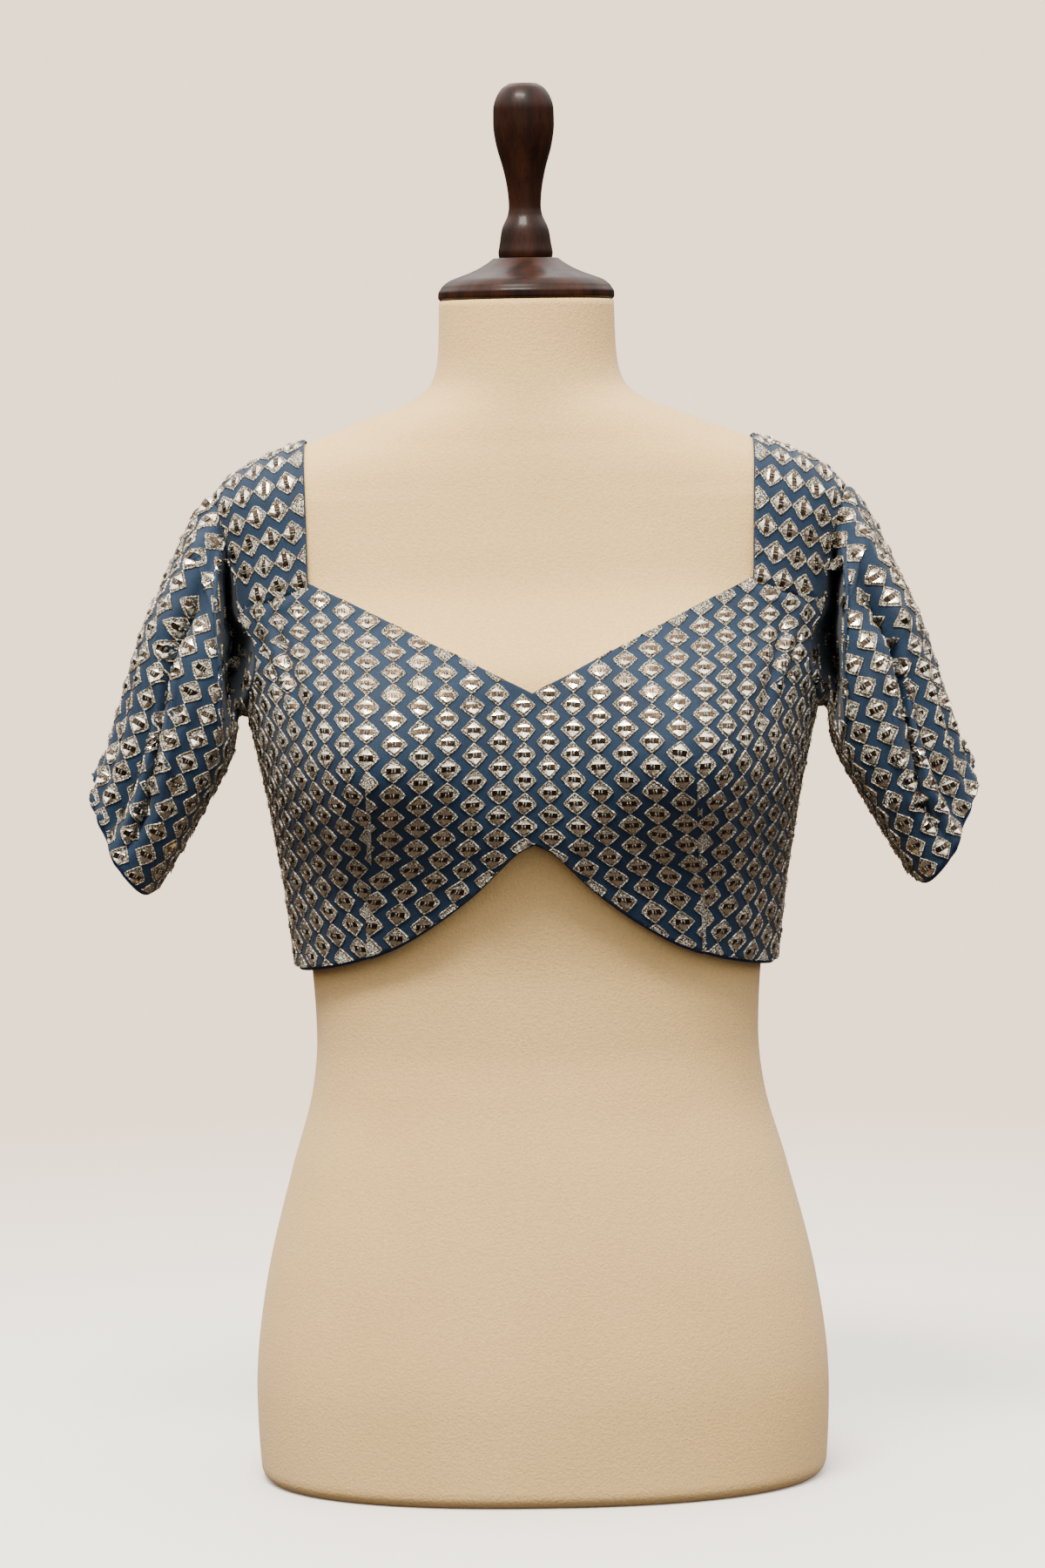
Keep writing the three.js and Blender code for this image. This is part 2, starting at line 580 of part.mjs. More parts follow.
function tubeWall(rings, from, thickness) {
  const layer = (lift) => SLEEVE_PARTS.map((part) => rings.map((v) => sleevePoint(part, v, lift)));
  return wall(layer(from + thickness), layer(from), true);
}

// ---- Building ----

/** A geometry mirrored to the other side of the body. */
function mirrored(geometry) {
  const copy = geometry.clone();
  copy.scale(-1, 1, 1);
  const index = copy.index.array;
  for (let i = 0; i < index.length; i += 3) [index[i], index[i + 1]] = [index[i + 1], index[i]];
  copy.computeVertexNormals();
  return copy;
}

/** A turned piece of the profile's rows, or of a smooth curve through them in so many steps. */
function turned(rows, steps) {
  const corners = rows.map((row) => new THREE.Vector2(row.radius, row.z));
  const outline = steps ? new THREE.SplineCurve(corners).getPoints(steps) : corners;
  const [low, high] = [outline[0].y, outline[outline.length - 1].y];
  const closed = [new THREE.Vector2(0, low), ...outline, new THREE.Vector2(0, high)];
  const lathe = new THREE.LatheGeometry(closed, LATHE_ROUND);
  lathe.rotateX(Math.PI / 2).translate(0, NECK_CENTRE_Y, 0);
  lathe.deleteAttribute("normal");
  lathe.deleteAttribute("uv");
  const merged = mergeVertices(lathe, 1e-4);
  merged.computeVertexNormals();
  return merged;
}

function formBody() {
  const turns = range(FORM_ROUND).slice(0, -1).map((t) => 2 * Math.PI * t);
  const heights = FORM_STRETCHES.flatMap((stretch) => {
    return range(stretch.rings).slice(0, -1).map((t) => mix(stretch.from, stretch.to, t));
  });
  return stackedSolid([...heights, NECK_TOP].map((z) => turns.map((turn) => formPoint(turn, z))));
}

const EMBROIDERED = { color: 0x2f5f80, roughness: 0.7, metalness: 0 };
const PLAIN = { color: 0x2d5587, roughness: 0.75, metalness: 0 };
const COVER = { color: 0xcdb592, roughness: 0.9, metalness: 0 };
const WOOD = { color: 0x351a12, roughness: 0.3, metalness: 0 };

const group = new THREE.Group();
function add(name, geometry, finish) {
  const mesh = new THREE.Mesh(geometry, new THREE.MeshStandardMaterial(finish));
  mesh.name = name;
  group.add(mesh);
}

const front = frontPlaces();
const facingPlaces = front.map((column) => {
  const low = column[0].z;
  const level = (z) => ({ turn: column[0].turn, z });
  return [level(low - FACING_SHOWS), level(low + FACING_DEPTH / 2), level(low + FACING_DEPTH)];
});
const backRight = clothWall(backHalf(), 0, CLOTH);
const strapRight = clothWall(strapPlaces(), 0, CLOTH);
const sleeveRight = tubeWall(SLEEVE_RINGS, -CLOTH / 2, CLOTH);
const cuffRight = tubeWall(CUFF_FACING_RINGS, -CLOTH / 2 - FACING_STAND - FACING, FACING);

add("form_body", formBody(), COVER);
add("neck_cap", turned(CAP_PROFILE), WOOD);
add("handle", turned(HANDLE_PROFILE, HANDLE_STEPS), WOOD);
add("front", clothWall(front, 0, CLOTH), EMBROIDERED);
add("hem_facing", clothWall(facingPlaces, -FACING_STAND - FACING, FACING), PLAIN);
for (const side of ["right", "left"]) {
  const placed = (geometry) => (side === "right" ? geometry : mirrored(geometry));
  add(`back_${side}`, placed(backRight), EMBROIDERED);
  add(`strap_${side}`, placed(strapRight), EMBROIDERED);
  add(`sleeve_${side}`, placed(sleeveRight), EMBROIDERED);
  add(`cuff_facing_${side}`, placed(cuffRight), PLAIN);
}

export default group;
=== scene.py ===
"""A crop top on a limbless dress form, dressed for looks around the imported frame.

The blouse is cut from crepe that carries rows of embroidered diamonds, each with a foil mirror, and is
worn by a padded form with a turned wooden neck cap and handle. Lengths are in millimetres while a
surface is worked out, and become metres in its mesh. +Z is up and the front faces -Y.
"""
import logging
import math
from dataclasses import dataclass, field
from enum import Enum
from typing import Callable

import bpy
import numpy as np
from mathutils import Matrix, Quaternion, Vector
from numpy.typing import NDArray


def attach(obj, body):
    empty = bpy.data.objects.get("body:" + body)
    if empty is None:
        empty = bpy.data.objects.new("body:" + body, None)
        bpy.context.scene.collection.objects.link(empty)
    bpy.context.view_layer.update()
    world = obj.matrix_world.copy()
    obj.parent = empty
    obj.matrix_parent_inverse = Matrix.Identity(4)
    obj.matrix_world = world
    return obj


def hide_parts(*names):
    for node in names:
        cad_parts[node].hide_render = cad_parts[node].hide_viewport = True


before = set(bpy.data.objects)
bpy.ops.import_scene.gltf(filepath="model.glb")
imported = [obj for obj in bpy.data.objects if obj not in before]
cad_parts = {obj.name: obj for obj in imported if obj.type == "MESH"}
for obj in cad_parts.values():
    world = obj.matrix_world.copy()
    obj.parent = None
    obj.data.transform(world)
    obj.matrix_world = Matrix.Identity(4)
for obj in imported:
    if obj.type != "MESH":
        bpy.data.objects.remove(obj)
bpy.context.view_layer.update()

Array = NDArray[np.float64]
Edge = Callable[[Array], Array]
Tone = tuple[int, int, int]
Pair = tuple[float, float]
Place = tuple[float, float, float]
Laid = tuple[Array, ...]
Socket = bpy.types.NodeSocket
Node = bpy.types.Node
Material = bpy.types.Material
Piece = bpy.types.Object
log = logging.getLogger("crop_top")

MM = 0.001
CLOTH = 1.2  # wall of the embroidered crepe as it is shown
CLOTH_LIFT = 0.3  # how far the inside of the crepe stands above its ease
FACING = 0.8  # wall of the plain facings
FACING_LIFT = -1.3  # how far the hem's facing lies under the crepe's ease
EDGE_ROUND = 0.3  # share of a wall's thickness that its edge is rounded by
OVERSHOOT = 1.4  # how far past the mean pull of its springs a point moves
COARSE_ROUNDS, FINE_ROUNDS = 500, 160  # rounds of pulling on every fifth line, and on them all
CLOTH_MAP = 0.01  # the cloth's map: 1 is 100 mm
REPEAT_MAP = 0.1  # a repeat's own map: 1 is 10 mm
SMALLEST = 1e-9  # keeps a length from being 0 where it divides
SIGNS = ((1, "right"), (-1, "left"))  # the sides of +X and of -X
HALF_TURN = math.pi
SIDE = math.pi / 2
DEGREE = math.pi / 180


# ---- Numbers that follow one another smoothly ----


class Table:
    """Named columns of numbers that a smooth curve follows without swinging past them."""

    def __init__(self, columns: str, rows: list[tuple[float, ...]]) -> None:
        """Stores the rows and works out the curve's slope at each.

        Args:
            columns: the columns' names, the first being the key.
            rows: one tuple per row, with rising keys.
        """
        grid = np.array(rows, dtype=float)
        self.key = grid[:, 0]
        self.columns = dict(zip(columns.split()[1:], grid[:, 1:].T))
        self.slopes = {name: self._slopes(values) for name, values in self.columns.items()}

    def _slopes(self, values: Array) -> Array:
        """Slope at each row: the least of its neighbours' slopes and half their mean, doubled.

        Args:
            values: a column.

        Returns:
            Its slope at each row, 0 where the column turns.
        """
        span = np.diff(self.key)
        slope = np.diff(values) / span
        before, after = slope[:-1], slope[1:]
        mean = (before * span[1:] + after * span[:-1]) / (span[:-1] + span[1:])
        least = np.minimum(np.minimum(abs(before), abs(after)), abs(mean) / 2)
        inner = (np.sign(before) + np.sign(after)) * least
        return np.concatenate([slope[:1], inner, slope[-1:]])

    def at(self, column: str, key: Array) -> Array:
        """Reads a column at any key: a cubic between the two nearest rows.

        Args:
            column: the column's name.
            key: where to read it.

        Returns:
            The column's value at each key.
        """
        values, slopes = self.columns[column], self.slopes[column]
        place = np.clip(key, self.key[0], self.key[-1])
        row = np.clip(np.searchsorted(self.key, place) - 1, 0, len(self.key) - 2)
        span = self.key[row + 1] - self.key[row]
        t = (place - self.key[row]) / span
        rise = values[row + 1] - values[row]
        bend = slopes[row] * span * t * (1 - t) ** 2 - slopes[row + 1] * span * t * t * (1 - t)
        return values[row] + rise * t * t * (3 - 2 * t) + bend


def ease01(t: Array) -> Array:
    """A smooth step from 0 to 1."""
    c = np.clip(t, 0, 1)
    return c * c * (3 - 2 * c)


def bell(t: Array) -> Array:
    """A bell curve, 1 at 0."""
    return np.exp(-np.square(t))


def mix(a: Array, b: Array, t: Array) -> Array:
    """The value a share t of the way from a to b."""
    return a + (b - a) * t


def packed(*parts: Array | float) -> Array:
    """Values side by side, as points, places or faces."""
    return np.stack(np.broadcast_arrays(*parts), axis=-1)


def unit(vectors: Array) -> Array:
    """Vectors made one long."""
    return vectors / np.maximum(np.linalg.norm(vectors, axis=-1, keepdims=True), SMALLEST)


def grid_normals(points: Array, is_round: bool) -> Array:
    """Unit normals of a grid of points: the cross product of its two directions at each.

    Args:
        points: columns x rows x 3.
        is_round: whether the last column is followed by the first.

    Returns:
        A normal for each point.
    """
    if is_round:
        along = np.roll(points, -1, axis=0) - np.roll(points, 1, axis=0)
    else:
        along = np.gradient(points, axis=0)
    return unit(np.cross(along, np.gradient(points, axis=1)))


def arc(points: Array, axis: int) -> Array:
    """Distance run along a grid's axis, from 0 at its first points."""
    steps = np.linalg.norm(np.diff(points, axis=axis), axis=-1)
    start = np.zeros_like(np.take(steps, [0], axis=axis))
    return np.cumsum(np.concatenate([start, steps], axis=axis), axis=axis)


def relax(points: Array, flat: Array, rounds: int) -> Array:
    """Lays a grid out flat by letting every edge and diagonal pull to its real length.

    In each round a point moves by the mean of what its springs miss, times OVERSHOOT.

    Args:
        points: the grid in space.
        flat: a first guess of its places on the flat cloth.
        rounds: how often they are pulled.

    Returns:
        The places on the flat cloth.
    """
    near = (slice(None, -1), slice(1, None), slice(None))
    pairs = [
        ((near[0], near[2]), (near[1], near[2])), ((near[2], near[0]), (near[2], near[1])),
        ((near[0], near[0]), (near[1], near[1])), ((near[1], near[0]), (near[0], near[1])),
    ]
    lengths = [np.linalg.norm(points[b] - points[a], axis=-1, keepdims=True) for a, b in pairs]
    flat = flat.copy()
    for _ in range(rounds):
        moves, counts = np.zeros_like(flat), np.zeros(flat.shape[:2] + (1,))
        for (a, b), length in zip(pairs, lengths):
            span = flat[b] - flat[a]
            now = np.maximum(np.linalg.norm(span, axis=-1, keepdims=True), 1e-6)
            pull = span * (0.5 - 0.5 * length / now)
            moves[a] += pull
            moves[b] -= pull
            counts[a] += 1
            counts[b] += 1
        flat += moves / counts * OVERSHOOT
    return flat


def laid_flat(points: Array, flat: Array, step: int = 5) -> Array:
    """Relaxes every fifth line of a grid first, spreads what that moved, and relaxes the whole.

    Args:
        points: the grid in space.
        flat: a first guess of its places on the flat cloth.
        step: how many lines apart those relaxed first are.

    Returns:
        The places on the flat cloth.
    """
    columns, rows = points.shape[0] // step, points.shape[1] // step
    i = np.linspace(0, points.shape[0] - 1, columns + 1).round().astype(int)
    j = np.linspace(0, points.shape[1] - 1, rows + 1).round().astype(int)
    coarse = flat[i][:, j]
    moved = relax(points[i][:, j], coarse, COARSE_ROUNDS) - coarse
    u = np.interp(np.arange(points.shape[0]), i, np.arange(len(i)))
    v = np.interp(np.arange(points.shape[1]), j, np.arange(len(j)))
    return relax(points, flat + bilinear(moved, packed(u[:, None], v[None, :])), FINE_ROUNDS)


# ---- Meshes ----


def make_piece(name: str, points: Array, faces: list[Array], uv: Array | None = None) -> Piece:
    """Puts points and faces into a new smooth object at the origin.

    Args:
        name: the piece's name.
        points: its points in millimetres.
        faces: arrays of point numbers, one array for each number of corners.
        uv: a place on its map for each point.

    Returns:
        The new object.
    """
    mesh = bpy.data.meshes.new(name)
    corners = np.concatenate([face.ravel() for face in faces]).astype(np.int32)
    totals = np.concatenate([np.full(len(face), face.shape[1]) for face in faces])
    starts = np.concatenate([[0], np.cumsum(totals)[:-1]])
    mesh.vertices.add(len(points))
    mesh.vertices.foreach_set("co", (points * MM).astype(np.float32).ravel())
    mesh.loops.add(len(corners))
    mesh.loops.foreach_set("vertex_index", corners)
    mesh.polygons.add(len(totals))
    mesh.polygons.foreach_set("loop_start", starts.astype(np.int32))
    mesh.polygons.foreach_set("use_smooth", np.ones(len(totals), dtype=bool))
    mesh.update(calc_edges=True)
    if uv is not None:
        layer = mesh.uv_layers.new(name="cloth")
        layer.data.foreach_set("uv", uv[corners].astype(np.float32).ravel())
    mesh.validate()
    piece = bpy.data.objects.new(name, mesh)
    bpy.context.scene.collection.objects.link(piece)
    return piece


def quads(numbers: Array, is_round: bool) -> Array:
    """Four-cornered faces of a grid of point numbers, facing along the grid's normals.

    Args:
        numbers: the numbers of the grid's points, columns x rows.
        is_round: whether the last column is followed by the first.

    Returns:
        Faces x 4 point numbers.
    """
    near, far = numbers[:-1], numbers[1:]
    if is_round:
        near, far = numbers, np.roll(numbers, -1, axis=0)
    corners = [near[:, :-1], far[:, :-1], far[:, 1:], near[:, 1:]]
    return np.stack(corners, axis=-1).reshape(-1, 4)


def padded(grid: Array, is_round: bool) -> Array:
    """A grid with its border rows said twice, and its border columns too unless it is round."""
    around = (0, 0) if is_round else (1, 1)
    return np.pad(grid, [around, (1, 1)] + [(0, 0)] * (grid.ndim - 2), mode="edge")


@dataclass
class Sheet:
    """Cloth as a grid of points of its inner side, with the thread's own directions.

    across and down say where each point lies on the flat cloth, in millimetres.
    """

    points: Array
    normals: Array
    across: Array
    down: Array
    thickness: float = CLOTH
    is_round: bool = False

    @property
    def outside(self) -> Array:
        """Points of the outer side."""
        return self.points + self.normals * self.thickness

    def flat_size(self) -> tuple[float, float, float]:
        """Width and length in metres and area in square metres of the flat cloth.

        The area is the sum over the cells of half the cross product of their diagonals. On a tube each
        row's width is run round its outer side, and the rows are centred over one another.

        Returns:
            The width, the length and the area.
        """
        flat = packed(self.across, self.down)
        if self.is_round:
            flat = np.concatenate([flat, flat[:1]], axis=0)
            width = np.linalg.norm(np.diff(self.outside, axis=0, append=self.outside[:1]), axis=-1)
            flat[..., 0] = np.concatenate([np.zeros_like(width[:1]), np.cumsum(width, axis=0)])
            flat[..., 0] -= flat[-1:, :, 0] / 2
        first = flat[1:, 1:] - flat[:-1, :-1]
        second = flat[:-1, 1:] - flat[1:, :-1]
        area = np.abs(first[..., 0] * second[..., 1] - first[..., 1] * second[..., 0]).sum() / 2
        size = (flat.reshape(-1, 2).max(axis=0) - flat.reshape(-1, 2).min(axis=0)) * MM
        return float(size[0]), float(size[1]), float(area) * MM * MM

    def mesh(self, name: str) -> Piece:
        """A closed wall with rounded edges: two layers that share a middle ring at the rim.

        Args:
            name: the piece's name.

        Returns:
            The new piece, with the flat cloth as its map.
        """
        outer, inner = (padded(side, self.is_round) for side in (self.outside, self.points))
        border = np.zeros(outer.shape[:2], dtype=bool)
        border[:, [0, -1]] = True
        if not self.is_round:
            border[[0, -1], :] = True
        middle = (outer + inner) / 2
        pull = EDGE_ROUND * self.thickness
        for layer in (outer, inner):
            self._draw_in(layer, pull)
            layer[border] = middle[border]
        numbers = np.arange(border.size).reshape(border.shape)
        other = np.where(border, numbers, numbers + border.size)
        front, back = quads(numbers, self.is_round), quads(other, self.is_round)[:, ::-1]
        points = np.concatenate([outer.reshape(-1, 3), inner.reshape(-1, 3)])
        flat = padded(packed(self.across, self.down), self.is_round).reshape(-1, 2)
        used, faces = np.unique(np.concatenate([front, back]), return_inverse=True)
        return make_piece(name, points[used], [faces.reshape(-1, 4)], np.tile(flat, (2, 1))[used] * CLOTH_MAP)

    def _draw_in(self, layer: Array, pull: float) -> None:
        """Moves a layer's last rows in from the rim, so that the rim can be round.

        Args:
            layer: the outer or the inner side, with its border said twice.
            pull: how far they move.
        """
        layer[:, 1] += pull * unit(layer[:, 2] - layer[:, 1])
        layer[:, -2] += pull * unit(layer[:, -3] - layer[:, -2])
        if not self.is_round:
            layer[1] += pull * unit(layer[2] - layer[1])
            layer[-2] += pull * unit(layer[-3] - layer[-2])


# ---- The form's surface, and the cloth over it ----


class Figure:
    """The form's shape and the ease of the cloth over it, as functions of turn and height."""

    bust_x, bust_z, bust_rise = 90.0, 418.0, 33.0
    bust_across, bust_above, bust_below = 54.0, 50.0, 44.0
    bust_fade = 0.4
    neck_top = 677.0
    turn_step, height_step = 0.002, 0.2

    sections = Table("z side front back square", [
        (0, 160, 99, 107, 2.3), (5, 164, 103, 111, 2.3), (50, 166, 103, 114, 2.3),
        (115, 159, 98, 111, 2.3), (180, 143, 90, 101, 2.25), (225, 130.5, 83, 92, 2.2),
        (255, 127.5, 80, 88, 2.2), (290, 129, 80.5, 88, 2.2), (340, 135.5, 88, 91, 2.25),
        (390, 146, 100, 96, 2.35), (430, 153.5, 103, 101, 2.45), (455, 156.5, 103.5, 103.5, 2.45),
        (470, 158.5, 100, 105, 2.45), (490, 161, 88, 106, 2.4), (510, 164, 76, 106, 2.35),
        (540, 173.5, 67.5, 103, 2.2), (556, 179, 64, 99, 2.1), (564, 179.5, 62.5, 96, 2.05),
        (572, 175, 61, 92, 2), (580, 166, 59.5, 88, 2), (589, 149, 57.5, 82, 2),
        (597, 128, 55.5, 76, 2), (604, 110, 54, 71, 2), (612, 89, 52, 66, 2),
        (619, 70, 50.5, 62, 2), (626, 59, 49.3, 59.5, 2), (636, 53, 48, 57, 2),
        (650, 50.8, 47, 54.5, 2), (677, 50, 46.5, 53.5, 2),
    ])
    eases = Table("z centre cup strap side back", [
        (297, 10, 8.5, 8, 8, 5), (330, 10.5, 8, 7, 7.2, 4.5), (365, 11, 5.5, 5, 5.5, 4),
        (400, 10, 2, 2.5, 4, 3), (430, 6.5, 1, 1.5, 5, 2), (458, 2, 1, 1.5, 8.5, 1.5),
        (485, 1.2, 1, 2, 10, 1.2), (510, 1.2, 1, 1.8, 9, 1.2), (540, 1, 1, 1.2, 4, 1),
        (560, 1, 1, 0.9, 1.6, 1), (580, 0.8, 0.8, 0.8, 0.8, 0.8), (620, 0.8, 0.8, 0.8, 0.8, 0.8),
    ])
    ease_turns = (
        (0.0, "centre"), (37 * DEGREE, "cup"), (62 * DEGREE, "strap"), (SIDE, "side"), (HALF_TURN, "back"),
    )

    def point(self, turn: Array, z: Array | float) -> Array:
        """A point of the form: a squared ellipse at each height, with two mounds in front.

        Args:
            turn: the turn from the centre front, + towards +X.
            z: the height.

        Returns:
            The points.
        """
        turn, z = np.broadcast_arrays(turn, z)
        forward, sideways = np.cos(turn), np.sin(turn)
        square = self.sections.at("square", z)
        side = self.sections.at("side", z)
        depth = np.where(forward > 0, self.sections.at("front", z), self.sections.at("back", z))
        reach = (np.abs(sideways / side) ** square + np.abs(forward / depth) ** square) ** (-1 / square)
        x = reach * sideways
        up = (z - self.bust_z) / np.where(z > self.bust_z, self.bust_above, self.bust_below)
        mounds = bell((x - self.bust_x) / self.bust_across) + bell((x + self.bust_x) / self.bust_across)
        bust = self.bust_rise * mounds * bell(up) * ease01(forward / self.bust_fade)
        return packed(x, -reach * forward - bust, z)

    def normal(self, turn: Array, z: Array) -> Array:
        """The outward normal of the form: the cross product of small steps round it and up it."""
        around = self.point(turn + self.turn_step, z) - self.point(turn - self.turn_step, z)
        upwards = self.point(turn, z + self.height_step) - self.point(turn, z - self.height_step)
        return unit(np.cross(around, upwards))

    def ease(self, turn: Array, z: Array) -> Array:
        """How far the inside of the cloth stands off the form, blended between five lines.

        Args:
            turn: the turn from the centre front.
            z: the height.

        Returns:
            The ease at each place.
        """
        away = np.abs(turn)
        total = self.eases.at("centre", z) + 0 * away
        for (start, first), (end, second) in zip(self.ease_turns, self.ease_turns[1:]):
            share = ease01((away - start) / (end - start))
            here = mix(self.eases.at(first, z), self.eases.at(second, z), share)
            total = np.where(away > start, here, total)
        return total

    def cloth(self, turn: Array, z: Array, lift: Array | float) -> Array:
        """A point of the cloth: the form's point moved out by the ease and by lift."""
        return self.point(turn, z) + self.normal(turn, z) * (self.ease(turn, z) + lift)[..., None]

    def turn_at(self, x: Array, z: Array, is_back: bool) -> Array:
        """The turn at which the form is x wide at height z, in front or behind.

        Args:
            x: how far to the side, + towards +X.
            z: the height.
            is_back: whether it is sought behind.

        Returns:
            The turn at each place, without the bust.
        """
        side = self.sections.at("side", z)
        depth = self.sections.at("back" if is_back else "front", z)
        square = self.sections.at("square", z)
        y = depth * np.maximum(0, 1 - (np.abs(x) / side) ** square) ** (1 / square)
        return np.arctan2(x, -y if is_back else y)


FIGURE = Figure()


class Levels:
    """Distances run round the cloth at one height, read from a fine lattice of turns and heights."""

    lowest, highest, height_lines = 290, 610, 161
    widest, turn_lines = 115 * DEGREE, 231

    def __init__(self, is_back: bool) -> None:
        """Measures the lattice out to past the side.

        Args:
            is_back: whether it starts at the centre back instead of the centre front.
        """
        self.heights = np.linspace(self.lowest, self.highest, self.height_lines)
        self.turns = np.linspace(0, self.widest, self.turn_lines)
        self.is_back = is_back
        turns = HALF_TURN - self.turns if is_back else self.turns
        points = FIGURE.cloth(turns[:, None], self.heights[None, :], CLOTH)
        self.runs = arc(points * np.array([1, 1, 0]), 0)

    def run(self, turn: Array, z: Array) -> Array:
        """Distance at one height from the centre line to a turn.

        Args:
            turn: the turn from the centre front.
            z: the height.

        Returns:
            The distance, below 0 on the side of -X.
        """
        away = HALF_TURN - np.abs(turn) if self.is_back else np.abs(turn)
        sign = np.where(turn < 0, -1.0, 1.0)
        step = self.turns[1] - self.turns[0]
        rise = self.heights[1] - self.heights[0]
        return sign * bilinear(self.runs, packed(away / step, (z - self.heights[0]) / rise))


def bilinear(grid: Array, at: Array) -> Array:
    """Reads a grid between its points, and runs on straight past its borders.

    Args:
        grid: columns x rows of values or of points.
        at: (column, row) of each place, with their fractions.

    Returns:
        The grid's value at each place.
    """
    i, j = (np.clip(np.floor(at[..., k]), 0, grid.shape[k] - 2).astype(int) for k in (0, 1))
    spread = at.shape[:-1] + (1,) * (grid.ndim - 2)
    s, t = (at[..., 0] - i).reshape(spread), (at[..., 1] - j).reshape(spread)
    low = grid[i, j] * (1 - s) + grid[i + 1, j] * s
    high = grid[i, j + 1] * (1 - s) + grid[i + 1, j + 1] * s
    return low * (1 - t) + high * t


@dataclass(frozen=True)
class Crease:
    """A soft trough, or a ridge where depth is above 0, along a straight line on the cloth.

    Its ends are (run from the centre, height) in millimetres; width is its half width, fade the
    share of its line along which it fades at each end, and least the share of depth left there.
    """

    start: Pair
    end: Pair
    depth: float
    width: float
    fade: float = 0.3
    least: float = 0.35

    def lift(self, run: Array, z: Array) -> Array:
        """Depth times a bell curve of the distance to the line, fading towards both its ends.

        Args:
            run: distance from the centre line.
            z: the height.

        Returns:
            How far the crease lifts the cloth at each place.
        """
        ax, az = self.start
        dx, dz = self.end[0] - ax, self.end[1] - az
        length2 = dx * dx + dz * dz
        share = ((run - ax) * dx + (z - az) * dz) / length2
        nearest = np.clip(share, 0, 1)
        off = np.hypot(run - ax - nearest * dx, z - az - nearest * dz)
        full = ease01(nearest / self.fade) * ease01((1 - nearest) / self.fade)
        return self.depth * bell(off / self.width) * mix(self.least, 1.0, full)


# ---- The cut of the blouse ----


